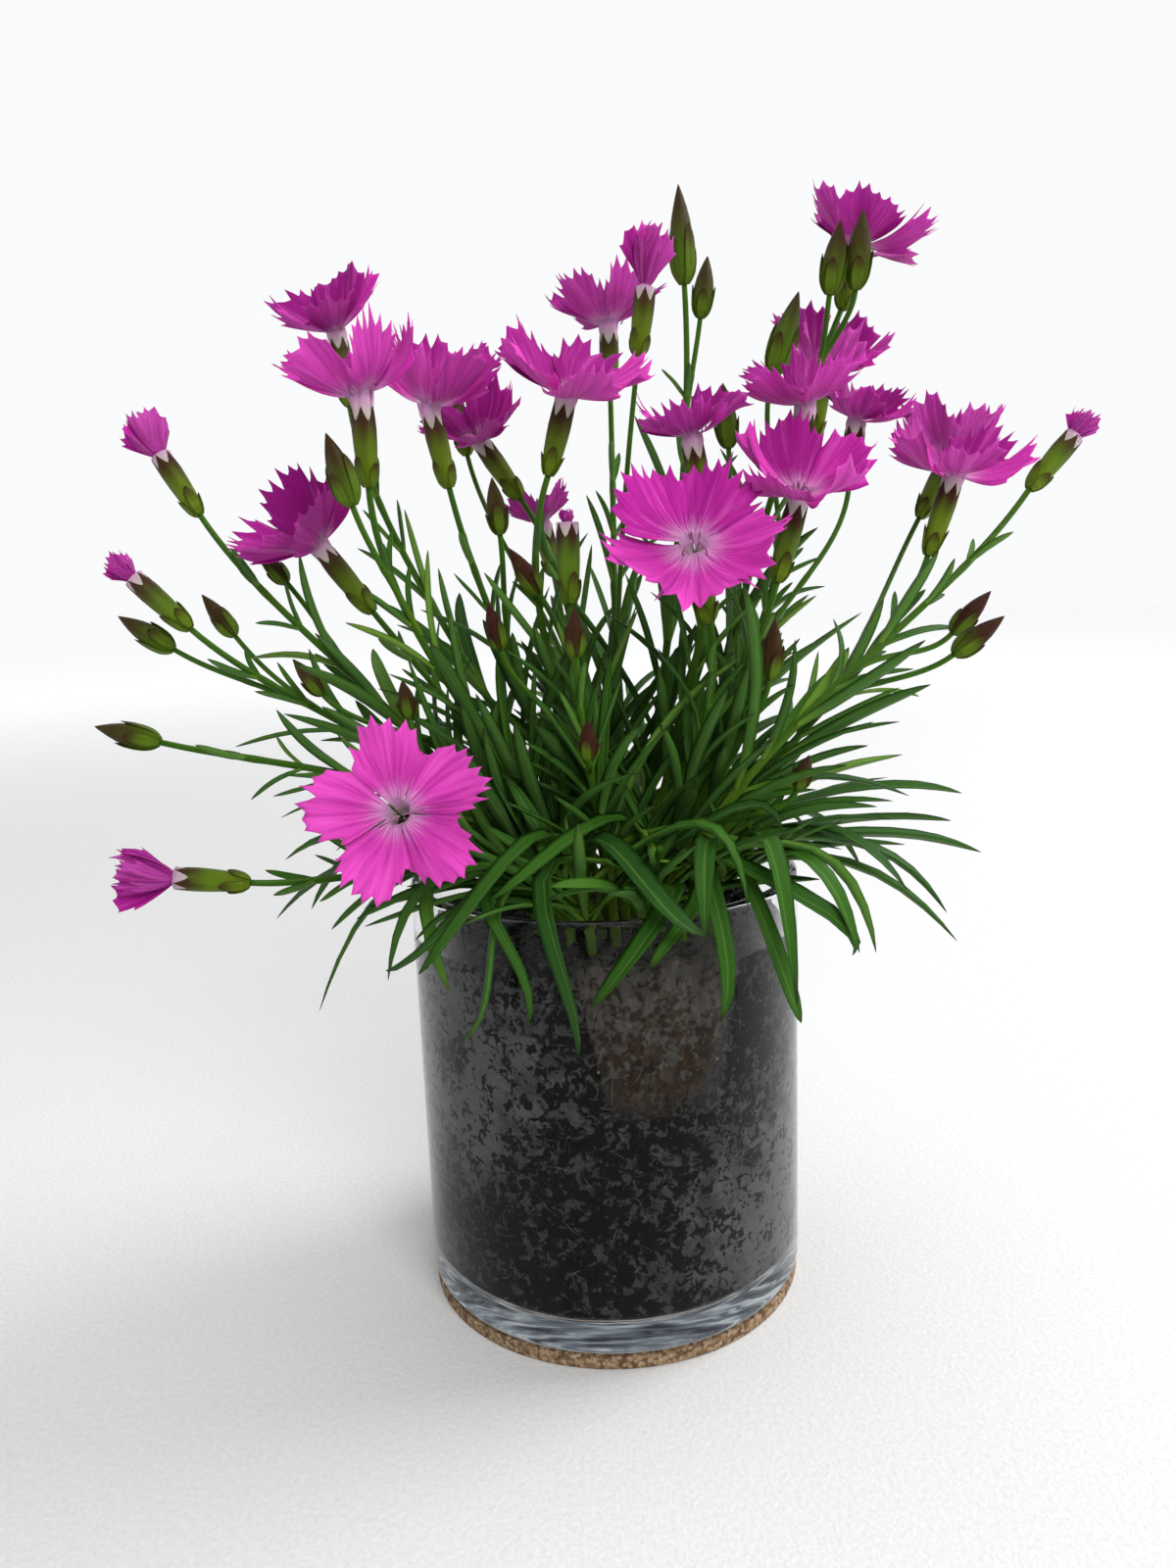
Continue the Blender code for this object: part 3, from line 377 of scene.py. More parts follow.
cork = Finish("pressed_cork", 0.88)
crumbs = cork.cells(cork.place(), CORK_CELLS, "Color")
crumb_tone = cork.node("SeparateColor", {"Color": crumbs}).outputs[0]
crumb_gaps = cork.cells(cork.place(), CORK_CELLS)
dark_cork, brown_cork, pale_cork = (0.15, 0.08, 0.035), (0.33, 0.21, 0.11), (0.52, 0.37, 0.23)
tones = cork.ramp(crumb_tone, (0.0, dark_cork), (0.3, brown_cork), (1.0, pale_cork))
fine = cork.grain(cork.place(), CORK_SPECKS)
speckled = cork.blend(cork.spread(fine, 0.55, 0.75), tones, (0.12, 0.05, 0.025))
cork.paint(cork.blend(cork.spread(crumb_gaps, 0.5, 0.8), speckled, (0.14, 0.07, 0.035)))
cork.relief(cork.maths("SUBTRACT", fine, crumb_gaps), CORK_RELIEF)

cork_skin = Skin()
cork_profile = (
    [(CORK_MIDDLE, 0.0), (CORK_RADIUS - CORK_EDGE, 0.0)]
    + arc(CORK_RADIUS - CORK_EDGE, CORK_EDGE, CORK_EDGE, -60, 0, 3)
    + arc(CORK_RADIUS - CORK_EDGE, CORK_THICKNESS - CORK_EDGE, CORK_EDGE, 0, 90, 4)
    + [(CORK_MIDDLE, CORK_THICKNESS)]
)
cork_skin.loft(turned(cork_profile, CORK_SIDES))
cork_skin.piece("cork_disc_fine", [cork], "cork_disc", slot="cork")
print("cork disc", round(2000 * CORK_RADIUS, 1), "mm across")

# %% [markdown]
# ## Glass
#
# The pot is a straight blown cylinder with a heavy clear floor. It is lofted with real walls, so that
# light bends at both faces: that gives the bright upright edges and the bands in the floor. The lip is
# fire-polished round. The bluish, dark and white streaks in the clear floor are painted reflections: a
# few mirrored rays can't gather light from all sides of a plain studio, so a second finish on the foot
# carries the streaks as colour and glows a little, as painted light.

# %% Glass
REST_GAP = 0.0003
GLASS_RADIUS = 0.045
GLASS_WALL = 0.0028
GLASS_FLOOR = 0.0055
GLASS_FOOT_Z = CORK_THICKNESS + REST_GAP
GLASS_HEIGHT = 0.097
RIM_Z = GLASS_FOOT_Z + GLASS_HEIGHT
GLASS_CURVE = 0.0033
GLASS_HEEL = 0.0022
INNER_RADIUS = GLASS_RADIUS - GLASS_WALL
INNER_FLOOR_Z = GLASS_FOOT_Z + GLASS_FLOOR
GLASS_SIDES = 144
LIP_START = 0.0020
WALL_START_Z = 0.03
WALL_ROWS = 6
BLOWN_FULL_Z, BLOWN_GONE_Z = 0.008, 0.014
BLOWN_SCALE, BLOWN_DEPTH = 42.0, 0.00022
# the foot's painted reflections: how much they glow as painted light, how fine their streaks are, and their
# dark, grey and white
FOOT_PAINTED_GLOW = 0.28
FOOT_REFLECTION_STREAKS = 260.0
REFLECTION_DARK, REFLECTION_GREY, REFLECTION_WHITE = (0.015, 0.018, 0.025), (0.24, 0.28, 0.33), (0.90, 0.97, 1.0)

glass = Finish("clear_glass", 0.0, Transmission_Weight=1.0, IOR=1.5, Specular_Tint=(0.14, 0.14, 0.14))
glass.paint((0.97, 0.985, 0.98))
blown = glass.grain(glass.place((1.0, 1.0, 9.0)), BLOWN_SCALE, 1.0)
glass_height = glass.node("SeparateXYZ", {"Vector": glass.place()}).outputs["Z"]
in_floor = glass.spread(glass_height, BLOWN_FULL_Z, BLOWN_GONE_Z, 1.0, 0.0)
glass.relief(glass.maths("MULTIPLY", blown, in_floor), BLOWN_DEPTH)
glass_profile = (
    [(GLASS_MIDDLE, INNER_FLOOR_Z)]
    + arc(INNER_RADIUS - GLASS_CURVE, INNER_FLOOR_Z + GLASS_CURVE, GLASS_CURVE, -90, 0, 9)
    + [(INNER_RADIUS, z) for z in np.linspace(WALL_START_Z, RIM_Z - LIP_START, WALL_ROWS)]
    + arc(GLASS_RADIUS - GLASS_WALL / 2, RIM_Z - GLASS_WALL / 2, GLASS_WALL / 2, 180, 0, 9)
    + [(GLASS_RADIUS, z) for z in np.linspace(RIM_Z - LIP_START, WALL_START_Z, WALL_ROWS)]
    + arc(GLASS_RADIUS - GLASS_HEEL, GLASS_FOOT_Z + GLASS_HEEL, GLASS_HEEL, 0, -90, 7)
    + [(GLASS_MIDDLE, GLASS_FOOT_Z)]
)
# painted reflections: streaks on the foot stand for the room mirrored in the clear floor, and the foot
# glows a little as painted light
foot_painted_reflections = Finish("glass_foot_painted_reflections", 0.5)
streaks = foot_painted_reflections.grain(foot_painted_reflections.place((0.22, 1.0, 1.0)), FOOT_REFLECTION_STREAKS, 3.0)
foot_reflection_tone = foot_painted_reflections.ramp(streaks, (0.38, REFLECTION_DARK), (0.51, REFLECTION_GREY), (0.64, REFLECTION_WHITE))
foot_painted_reflections.paint(foot_reflection_tone)
foot_painted_reflections.set("Emission Color", foot_reflection_tone)
foot_painted_reflections.set("Emission Strength", FOOT_PAINTED_GLOW)
glass_skin = Skin()
glass_skin.loft(turned(glass_profile[::-1], GLASS_SIDES))
# the foot is the first band of faces and the first of the two caps
glass_skin.slots[:GLASS_SIDES] = [1] * GLASS_SIDES
glass_skin.slots[-2] = 1
glass_skin.piece("glass_pot_fine", [glass, foot_painted_reflections], "glass_pot", slot="clear_glass")
print("glass", round(1000 * GLASS_HEIGHT), "mm high, wall", round(1000 * GLASS_WALL, 1), "mm")

# %% [markdown]
# ## Soil behind the glass
#
# Potting soil touches the glass only in places. Where a wet crumb touches, it is black and sharp; where
# it stands back, the fogged glass looks grey. A noise gives the mark `pressed`, which tells the finish
# where clusters of wet crumbs are. The mark `haze` is high in the places where this pot is fogged most:
# the upper left, the left side and low on the right. The mesh itself touches the glass all round, or the
# glass would mirror the pale floor inside. The vector noise that bends the clusters starts from the clock
# unless it is given a seed, so it gets one, and every run lays the same flecks.

# %% Soil shape
SOIL_RADIUS = INNER_RADIUS - REST_GAP
SOIL_FOOT_Z = INNER_FLOOR_Z + REST_GAP
SOIL_TOP_Z = 0.088
SOIL_CONTACT = 0.00036
PLUG_TOP = Vector((0.0040, -0.0145, 0.0905))
PLUG_FOOT = Vector((0.0058, -0.0207, 0.0570))
PLUG_TOP_RADIUS = 0.029
PLUG_FOOT_RADIUS = 0.022
PLUG_POCKET = 0.0045
PLUG_SEAT = 0.002
SOIL_LUMPS = 0.0022
SOIL_SINK = 0.0006
SOIL_SEED = 3
# azimuth in degrees, height and size in millimetres, and how strong: above 0 the glass is fogged, below 0
# it is clear
HAZE_SPOTS = (
    (205, 74, 26, 0.9),
    (232, 62, 17, 0.5),
    (222, 46, 10, 0.55),
    (216, 66, 6, -1.0),
    (262, 36, 20, -0.25),
    (300, 30, 16, 0.25),
    (325, 22, 20, 0.9),
    (340, 42, 16, 0.55),
    (308, 76, 9, -1.3),
    (235, 22, 15, -0.3),
    (40, 60, 30, 0.5),
    (120, 30, 26, 0.6),
    (90, 70, 20, -0.4),
)


def haze_at(azimuth, z):
    """How fogged the glass is in front of this place."""
    total = 0.0
    for spot, height, size, strength in HAZE_SPOTS:
        aside = math.radians((azimuth - spot + 180) % 360 - 180) * SOIL_RADIUS * 1000
        reach = math.hypot(aside, z * 1000 - height) / size
        total += strength * math.exp(-reach * reach)
    return total


def plug_share(point):
    """How deep a point is in the root plug: above 0 inside, below 0 outside, in metres."""
    t = (point.z - PLUG_FOOT.z) / (PLUG_TOP.z - PLUG_FOOT.z)
    centre = PLUG_FOOT.lerp(PLUG_TOP, t)
    radius = PLUG_FOOT_RADIUS + (PLUG_TOP_RADIUS - PLUG_FOOT_RADIUS) * t
    return min(radius - (point.xy - centre.xy).length, point.z - PLUG_FOOT.z)


def pressed_at(point, haze):
    """Whether soil touches the glass at this place: 1 where it does, 0 where it stands back."""
    warp = noise.noise_vector(point * 90) * 0.004
    blotch = noise.fractal((point + warp) * 210, 1.0, 2.2, 4)
    return float(smooth(-0.16, 0.10, blotch - 0.26 * haze))


def soil_rings(columns=400, wall_rows=150):
    heights = np.linspace(SOIL_FOOT_Z + GLASS_CURVE, SOIL_TOP_Z, wall_rows)
    profile = [(GLASS_MIDDLE, SOIL_FOOT_Z)]
    profile += arc(SOIL_RADIUS - GLASS_CURVE, SOIL_FOOT_Z + GLASS_CURVE, GLASS_CURVE, -90, -8, 6)
    profile += [(SOIL_RADIUS, z) for z in heights]
    wall_end = len(profile)
    profile += [(SOIL_RADIUS * share, SOIL_TOP_Z) for share in np.linspace(0.985, 0.02, 26)]
    rings = turned(profile, columns)
    pressed, haze = np.zeros(rings.shape[:2]), np.zeros(rings.shape[:2])
    for row in range(1, len(profile)):
        for k in range(columns):
            point = Vector(rings[row, k])
            inside = plug_share(point)
            if row < wall_end:
                haze[row, k] = haze_at(math.degrees(math.atan2(point.y, point.x)), point.z)
                pressed[row, k] = pressed_at(point, haze[row, k])
                back = PLUG_POCKET if inside > 0 else -SOIL_CONTACT
                rings[row, k, :2] *= 1 - back / SOIL_RADIUS
                continue
            pressed[row, k] = 1.0
            if inside > -0.0005:
                rings[row, k, 2] -= PLUG_SEAT
            else:
                lump = noise.fractal(point * 160, 0.9, 2.1, 4)
                rings[row, k, 2] += SOIL_LUMPS * lump - SOIL_SINK
    return rings, pressed, haze


noise.seed_set(SOIL_SEED)
soil_shape, soil_pressed, soil_haze = soil_rings()
print("soil touches the glass over", round(100 * float(soil_pressed.mean())), "% of its wall")

# %% [markdown]
# The soil's finish has three layers: black peat where it is pressed, grey fog where it isn't, and small
# things in it, such as pale grit and brown fibre. Fine noise breaks every edge, because real crumbs are
# never one colour.

# %% Soil finish
GRIT_CELLS = 800.0
PALE_GRIT = (0.30, 0.27, 0.22)
CRUMB_RELIEF = 0.0003

soil = Finish("potting_soil", 0.85, Specular_IOR_Level=0.1)
where = soil.place()
flake_shape = {"Vector": where, "Scale": 540.0, "Detail": 6.0, "Roughness": 0.58, "Distortion": 0.9}
flake_noise = soil.node("TexNoise", flake_shape).outputs["Fac"]
crumb_shape = {"Vector": where, "Scale": 950.0, "Detail": 4.0, "Roughness": 0.7, "Distortion": 1.6}
crumb_noise = soil.node("TexNoise", crumb_shape).outputs["Fac"]
cloud_noise = soil.grain(where, 190.0, 3.0)
stands_back = soil.spread(soil.mark("pressed"), 0.0, 1.0, 0.05, -0.04)
fog = soil.spread(soil.mark("haze"), -0.6, 0.9, -0.05, 0.07)
flakes = soil.maths("ADD", soil.maths("ADD", flake_noise, stands_back), fog)
flake_share = soil.spread(flakes, 0.500, 0.560)
black_peat, wet_peat, dry_crumb = (0.0020, 0.0020, 0.0020), (0.008, 0.007, 0.006), (0.060, 0.052, 0.042)
peat = soil.ramp(crumb_noise, (0.40, black_peat), (0.60, wet_peat), (0.78, dry_crumb))
dull = soil.ramp(crumb_noise, (0.3, (0.028, 0.028, 0.028)), (0.7, (0.092, 0.092, 0.094)))
fogged = soil.ramp(crumb_noise, (0.3, (0.110, 0.110, 0.114)), (0.7, (0.190, 0.190, 0.195)))
clouds = soil.spread(cloud_noise, 0.3, 0.7, -0.4, 0.3)
fog_share = soil.spread(soil.maths("ADD", soil.mark("haze"), clouds), -0.1, 0.9)
walls = soil.blend(flake_share, peat, soil.blend(fog_share, dull, fogged))
grit_noise = soil.cells(where, GRIT_CELLS)
grit = soil.spread(grit_noise, 0.05, 0.13, 1.0, 0.0)
grit_tone = soil.node("SeparateColor", {"Color": soil.cells(where, GRIT_CELLS, "Color")})
few = soil.spread(grit_tone.outputs[0], 0.86, 0.9)
soil.paint(soil.blend(soil.maths("MULTIPLY", grit, few), walls, PALE_GRIT))
soil.relief(crumb_noise, CRUMB_RELIEF)
soil_skin = Skin()
soil_skin.loft(soil_shape, pressed=soil_pressed, haze=soil_haze)
soil_skin.piece("potting_soil_fine", [soil], "potting_soil", slot="potting_soil")
print("soil", soil_skin.count, "points")

# %% [markdown]
# ## Root plug
#
# The plant was sold in a small round cell, and its roots still hold that shape: a brown tapered plug,
# pushed against the front glass. It is the same kind of loft as the soil, cut off flat where it meets the
# glass, with shallow grooves that run the way the roots grew. On the glass its outline is a U. Outside
# the U, soil has crept between the plug and the glass, so the finish turns to soil there instead of the
# mesh: the edge can then be ragged.

# %% Root plug finish
ROOT_RELIEF = 0.0006
# the middle and the level of the plug's U on the glass, and how fast the U falls away from them
PLUG_MIDDLE_X, PLUG_ASIDE = 0.0090, 64.0
PLUG_LEVEL_Z, PLUG_BELOW = 0.0840, 38.5

matted = Finish("matted_roots", 0.85, Specular_IOR_Level=0.1)
root_noise = matted.grain(matted.place((1.0, 1.0, 0.5)), 600.0, 6.0, 0.7)
plug_flake_shape = {
    "Vector": matted.place(),
    "Scale": 560.0,
    "Detail": 5.0,
    "Roughness": 0.55,
    "Distortion": 0.8,
}
plug_flakes = matted.node("TexNoise", plug_flake_shape).outputs["Fac"]
dark_root, brown_root, pale_root = (0.009, 0.005, 0.003), (0.034, 0.020, 0.011), (0.100, 0.064, 0.038)
brown = matted.ramp(root_noise, (0.35, dark_root), (0.52, brown_root), (0.72, pale_root))
grey_roots = matted.ramp(root_noise, (0.3, (0.036, 0.032, 0.027)), (0.7, (0.130, 0.115, 0.097)))
plug_spot = matted.node("SeparateXYZ", {"Vector": matted.place()}).outputs
fog_high = matted.spread(plug_spot["Z"], 0.060, 0.090, -0.08, 0.08)
fog_mask = matted.spread(matted.maths("ADD", plug_flakes, fog_high), 0.48, 0.56)
rooted = matted.blend(fog_mask, brown, grey_roots)
aside = matted.maths("MULTIPLY", matted.maths("SUBTRACT", plug_spot["X"], PLUG_MIDDLE_X), PLUG_ASIDE)
below = matted.maths("MAXIMUM", matted.maths("SUBTRACT", PLUG_LEVEL_Z, plug_spot["Z"]), 0.0)
below = matted.maths("MULTIPLY", below, PLUG_BELOW)
far_aside = matted.maths("POWER", matted.maths("ABSOLUTE", aside), 2.6)
from_middle = matted.maths("ADD", far_aside, matted.maths("POWER", below, 3.0))
ragged = matted.maths("ADD", from_middle, matted.spread(plug_flakes, 0.3, 0.7, -0.30, 0.30))
crept = matted.ramp(plug_flakes, (0.50, (0.004, 0.004, 0.004)), (0.56, (0.045, 0.044, 0.043)))
matted.paint(matted.blend(matted.spread(ragged, 0.80, 1.05), rooted, crept))
matted.relief(root_noise, ROOT_RELIEF)
print("root plug finish ready")

# %% Root plug shape
PLUG_INSET = 0.0006
PLUG_GROOVES = 0.0005
PLUG_TOP_ROWS = 14
PLUG_LUMPS = 0.0011
PLUG_EDGE_SINK, PLUG_TOP_SINK = 0.0012, 0.0004


def plug_rings(columns=150, wall_rows=44):
    shares = [0.05, 0.5, 0.85, *[1.0] * wall_rows, *np.linspace(0.97, 0.03, PLUG_TOP_ROWS)]
    heights = [0.0] * 3 + list(np.linspace(0, 1, wall_rows)) + [1.0] * PLUG_TOP_ROWS
    rings = np.empty((len(shares), columns, 3))
    for row, (share, height) in enumerate(zip(shares, heights)):
        centre = PLUG_FOOT.lerp(PLUG_TOP, height)
        radius = (PLUG_FOOT_RADIUS + (PLUG_TOP_RADIUS - PLUG_FOOT_RADIUS) * height) * share
        for k in range(columns):
            turn = math.tau * k / columns
            out = Vector((math.cos(turn), math.sin(turn), 0))
            point = centre + out * radius
            groove = noise.fractal(Vector((point.x * 300, point.y * 300, point.z * 90)), 1.0, 2.2, 4)
            if share == 1.0:
                point -= out * (PLUG_INSET + PLUG_GROOVES * groove)
            if height == 1.0:
                point.z += PLUG_LUMPS * groove - (PLUG_EDGE_SINK if share == 1.0 else PLUG_TOP_SINK)
            flat = point.xy.length / (SOIL_RADIUS + SOIL_CONTACT - PLUG_INSET * max(0, groove + 0.1))
            if flat > 1:
                point.xy = point.xy / flat
            rings[row, k] = point
    return rings


plug_skin = Skin()
plug_skin.loft(plug_rings())
plug_skin.piece("root_plug_fine", [matted], "root_plug", slot="matted_roots")
print("root plug", plug_skin.count, "points")

# %% [markdown]
# ## Crumbs, grit and root hairs
#
# A surface alone looks too neat where soil can be seen from above. Loose crumbs lie on it, each a small
# ball pushed out of shape. Between soil and glass run pale root hairs: thin tubes that wander over the
# wall, drawn by a seeded random walk, so that every run gives the same ones.

# %% Tubes and crumbs
def tube_rings(points, radii, sides=8):
    """Rings round a line. Each ring is turned as little as possible from the one before."""
    points = np.asarray(points, float)
    ways = np.gradient(points, axis=0)
    ways /= np.linalg.norm(ways, axis=1)[:, None]
    side = np.array(Vector(ways[0]).orthogonal().normalized())
    turn = np.linspace(0, math.tau, sides, endpoint=False)
    rings = np.empty((len(points), sides, 3))
    for i, (point, way, radius) in enumerate(zip(points, ways, np.broadcast_to(radii, len(points)))):
        side = side - way * side.dot(way)
        side /= np.linalg.norm(side)
        other = np.cross(way, side)
        rings[i] = point + (np.outer(np.cos(turn), side) + np.outer(np.sin(turn), other)) * radius
    return rings


def crumb_rings(centre, size, rng, sides=7):
    """A lump of soil: a ball of few faces, pushed out of shape."""
    shift = Vector((rng.uniform(-9, 9), rng.uniform(-9, 9), rng.uniform(-9, 9)))
    rings = []
    for lift in (-0.92, -0.45, 0.1, 0.6, 0.94):
        wide = math.sqrt(1 - lift * lift)
        ring = []
        for k in range(sides):
            turn = math.tau * k / sides
            way = Vector((wide * math.cos(turn), wide * math.sin(turn), lift))
            ring.append(Vector(centre) + way * size * (1 + 0.55 * noise.noise(way * 1.3 + shift)))
        rings.append(ring)
    return np.array(rings)


CRUMBS = 420

crumb_skin = Skin()
crumb_rng = random.Random("crumbs")
for _ in range(CRUMBS):
    reach = SOIL_RADIUS * math.sqrt(crumb_rng.uniform(0.02, 0.93))
    turn = crumb_rng.uniform(0, math.tau)
    spot = Vector((reach * math.cos(turn), reach * math.sin(turn), SOIL_TOP_Z))
    spot.z += 0.0020 if plug_share(spot) > 0 else -0.0001
    crumb_size = crumb_rng.uniform(0.0004, 0.0013)
    crumb_skin.loft(crumb_rings(spot, crumb_size, crumb_rng), 0)
crumb_skin.piece("soil_crumbs", [soil], slot="potting_soil")
print(CRUMBS, "crumbs")

# %% Root hairs and grit
ROOT_HAIRS = 260
ROOT_HAIR_STEP = 0.0009
# how far the hairs lie inside the glass, so that no gap shows between them and its wall
ROOT_HAIR_DEPTH = 0.00004
GRIT = 70
GRIT_REACH = 0.0415

hair = Finish("root_hairs", 0.6)
hair_tone = hair.grain(hair.place(), 150.0)
hair.paint(hair.ramp(hair_tone, (0.35, (0.035, 0.032, 0.026)), (0.65, (0.17, 0.155, 0.13))))
grit_finish = Finish("grit", 0.7)
grit_shade = grit_finish.grain(grit_finish.place(), 160.0)
grit_finish.paint(grit_finish.ramp(grit_shade, (0.35, (0.22, 0.13, 0.07)), (0.65, (0.55, 0.50, 0.42))))


def root_hair(rng):
    """A root hair that wanders over the inside of the glass."""
    azimuth = rng.uniform(0, math.tau)
    z = rng.uniform(0.016, 0.082)
    heading = rng.uniform(-1.9, 1.9) + math.pi / 2
    line = []
    for _ in range(rng.randint(4, 10)):
        out = Vector((math.cos(azimuth), math.sin(azimuth), 0))
        line.append(out * (INNER_RADIUS + ROOT_HAIR_DEPTH) + Vector((0, 0, z)))
        heading += rng.uniform(-0.55, 0.55)
        azimuth += ROOT_HAIR_STEP * math.cos(heading) / SOIL_RADIUS
        z = min(0.085, max(0.014, z + ROOT_HAIR_STEP * math.sin(heading)))
    return np.array(line)


hair_skin = Skin()
hair_rng = random.Random("root hairs")
for _ in range(ROOT_HAIRS):
    line = root_hair(hair_rng)
    widths = hair_rng.uniform(0.00004, 0.00010) * np.sin(np.linspace(0.5, 2.9, len(line)))
    hair_skin.loft(tube_rings(line, widths, 5), 0)
for _ in range(GRIT):
    turn, z = hair_rng.uniform(0, math.tau), hair_rng.uniform(0.016, 0.084)
    spot = Vector((math.cos(turn) * GRIT_REACH, math.sin(turn) * GRIT_REACH, z))
    hair_skin.loft(crumb_rings(spot, hair_rng.uniform(0.0002, 0.00045), hair_rng, 6), 1)
hair_skin.piece("root_hairs_and_grit", [hair, grit_finish], slot="matted_roots")
print(ROOT_HAIRS, "root hairs and", GRIT, "grains of grit")

# %% [markdown]
# ## Where everything grows
#
# The tables below say where each calyx, bloom and bud is, in millimetres, as they were read from the
# photograph. The solids of the frame were grown from the same tables by the same rules: stems start on a
# spiral over the crown, bend aside where another is in the way, and each leaf is drawn again until it is
# clear of its neighbours. Growing them here once more gives the same lines, and finer surfaces can then
# be drawn along them.

# %% Heads of the shoots
@dataclass
class Head:
    """What a stalk ends in, in millimetres: an open bloom, an opening bud, or a closed bud."""

    kind: str
    foot: tuple
    mouth: tuple
    spread: float = 0.0
    tall: float = 0.0
    face: tuple = ()
    cup: float = 26.0
    fork: float = 0.0


def bloom(foot, mouth, spread, face=(), cup=26.0, fork=0.0):
    return Head("bloom", foot, mouth, spread=spread, face=face, cup=cup, fork=fork)


def opening(foot, mouth, spread, tall, fork=0.0):
    return Head("opening", foot, mouth, spread=spread, tall=tall, fork=fork)


def bud(foot, tip, fork=0.0):
    return Head("bud", foot, tip, fork=fork)


# each flowering shoot: the first head ends its main stem, and the others fork off that stem
SHOOTS = {
    "left_outer": (
        opening((-89, 6, 184), (-97, 8, 197), 12, 12),
        bud((-72, 12, 168), (-79, 12, 177), fork=0.45),
    ),
    "left_middle": (
        opening((-90, -5, 159), (-101, -5, 170), 8, 8),
        bud((-97, 3, 154), (-109, 3, 162), fork=0.62),
        bud((-86, 14, 156), (-93, 14, 166), fork=0.42),
    ),
    "left_low": (bud((-96, -14, 135), (-110, -14, 139)),),
    "left_rim": (opening((-73, -34, 108), (-87, -36, 110), 15, 14),),
    "left_nodding": (
        bloom((-50, 0, 161), (-60, 2, 174), 36, face=(-0.70, -0.45, 0.80), cup=36),
        bud((-60, -12, 144), (-66, -12, 152), fork=0.35),
    ),
    "left_back": (bloom((-57, 26, 209), (-59, 28, 224), 32, face=(-0.20, -0.45, 1), cup=30),),
    "left_front_high": (
        bloom((-45, -22, 187), (-45, -23, 202), 31, face=(-0.30, -0.15, 1), cup=38),
        bud((-47, -30, 183), (-51, -31, 197), fork=0.66),
    ),
    "middle_left_high": (
        bloom((-32, 7, 188), (-35, 7, 203), 30, face=(0.15, -0.20, 1), cup=46),
        bud((-20, -6, 177), (-21, -8, 189), fork=0.50),
    ),
    "middle_left_back": (
        bloom((-17, 24, 186), (-25, 26, 198), 28, face=(-0.25, -0.60, 1), cup=34),
        bloom((-31, 42, 198), (-34, 44, 212), 28, face=(-0.10, -0.10, 1), cup=30, fork=0.30),
    ),
    "middle_bud": (
        opening((-5, -20, 162), (-5, -20, 178), 4, 4),
        bud((-12, -8, 164), (-18, -10, 174), fork=0.45),
        bud((-20, -20, 153), (-22, -22, 163), fork=0.40),
    ),
    "middle_high": (bloom((-9, -6, 189), (-5, -6, 203), 36, face=(0.30, -0.45, 1), cup=28),),
    "middle_back": (
        bloom((6, 45, 212), (6, 45, 226), 30, face=(0.0, 0.05, 1), cup=38),
        opening((12, 14, 216), (14, 14, 230), 9, 16, fork=0.25),
        bud((-6, 58, 158), (-9, 65, 167), fork=0.30),
    ),
    "tall_bud": (
        bud((24, 28, 234), (23, 28, 256)),
        bud((28, 32, 227), (30, 32, 241), fork=0.72),
    ),
    "front_big": (bloom((23, -31, 158), (20, -36, 171), 37, face=(-0.05, -1.05, 1), cup=24),),
    "middle_right_back": (
        bloom((24, -11, 180), (22, -12, 193), 25, face=(-0.15, -0.10, 1), cup=34),
        bud((31, 2, 194), (30, 3, 208), fork=0.55),
    ),
    "right_front_high": (
        bloom((38, -21, 165), (42, -21, 180), 31, face=(0.00, -0.50, 1), cup=36),
        bud((35, -30, 146), (36, -32, 158), fork=0.40),
    ),
    "right_pair": (
        bloom((44, -8, 185), (46, -8, 199), 28, face=(-0.10, -0.20, 1), cup=34),
        bloom((60, 13, 185), (62, 16, 198), 26, face=(0.25, -0.25, 1), cup=32, fork=0.50),
    ),
    "right_back_high": (
        bloom((57, 40, 199), (59, 42, 212), 34, face=(0.30, -0.40, 1), cup=34),
        bud((43, 16, 211), (49, 16, 229), fork=0.62),
    ),
    "top_right": (
        bloom((60, 22, 226), (64, 25, 238), 34, face=(0.35, 0.08, 1), cup=24),
        bud((55, 11, 227), (57, 9, 242), fork=0.86),
        bud((61, 12, 228), (62, 9, 244), fork=0.88),
    ),
    "right_outer": (
        bloom((75, 0, 169), (80, 1, 184), 34, face=(0.05, -0.40, 1), cup=28),
        bloom((80, 26, 178), (87, 29, 190), 28, face=(0.10, -0.05, 1), cup=42, fork=0.40),
    ),
    "far_right": (
        opening((100, 8, 183), (110, 10, 194), 8, 8),
        bud((79, -6, 152), (87, -7, 161), fork=0.50),
        bud((77, -14, 148), (87, -16, 156), fork=0.40),
    ),
    "front_left_face": (
        bloom((-35, -39, 116), (-38, -49, 124), 38, face=(0.12, -0.95, 0.22), cup=10),
        bud((-39, -26, 140), (-40, -27, 148), fork=0.50),
    ),
    "front_middle": (
        bud((-4, -34, 152), (-4, -34, 162)),
        bud((-2, -43, 133), (-2, -46, 141), fork=0.55),
        bud((40, -34, 124), (42, -36, 131), fork=0.20),
    ),
    "small_back": (
        bloom((-10, 38, 167), (-12, 40, 178), 20, face=(-0.2, 0.1, 1), cup=40),
    ),
}

# leafy tufts at the foot of the plant, by the way they grow, and how many upright leaves each has
TUFT_AZIMUTHS = (20, 75, 135, 195, 240, 282, 330)
TUFT_HEIGHT = 0.023
TUFT_LEAN = 0.011
TUFT_LEAVES = 6
print(sum(len(heads) for heads in SHOOTS.values()), "heads on", len(SHOOTS), "shoots")

# %% [markdown]
# A head is given by two places in millimetres: the foot of its calyx, where the stalk ends, and its
# mouth. The way from one to the other is the axis that everything on this head shares.

# %% Places and ways
def mm(x, y, z):
    return Vector((x, y, z)) / 1000


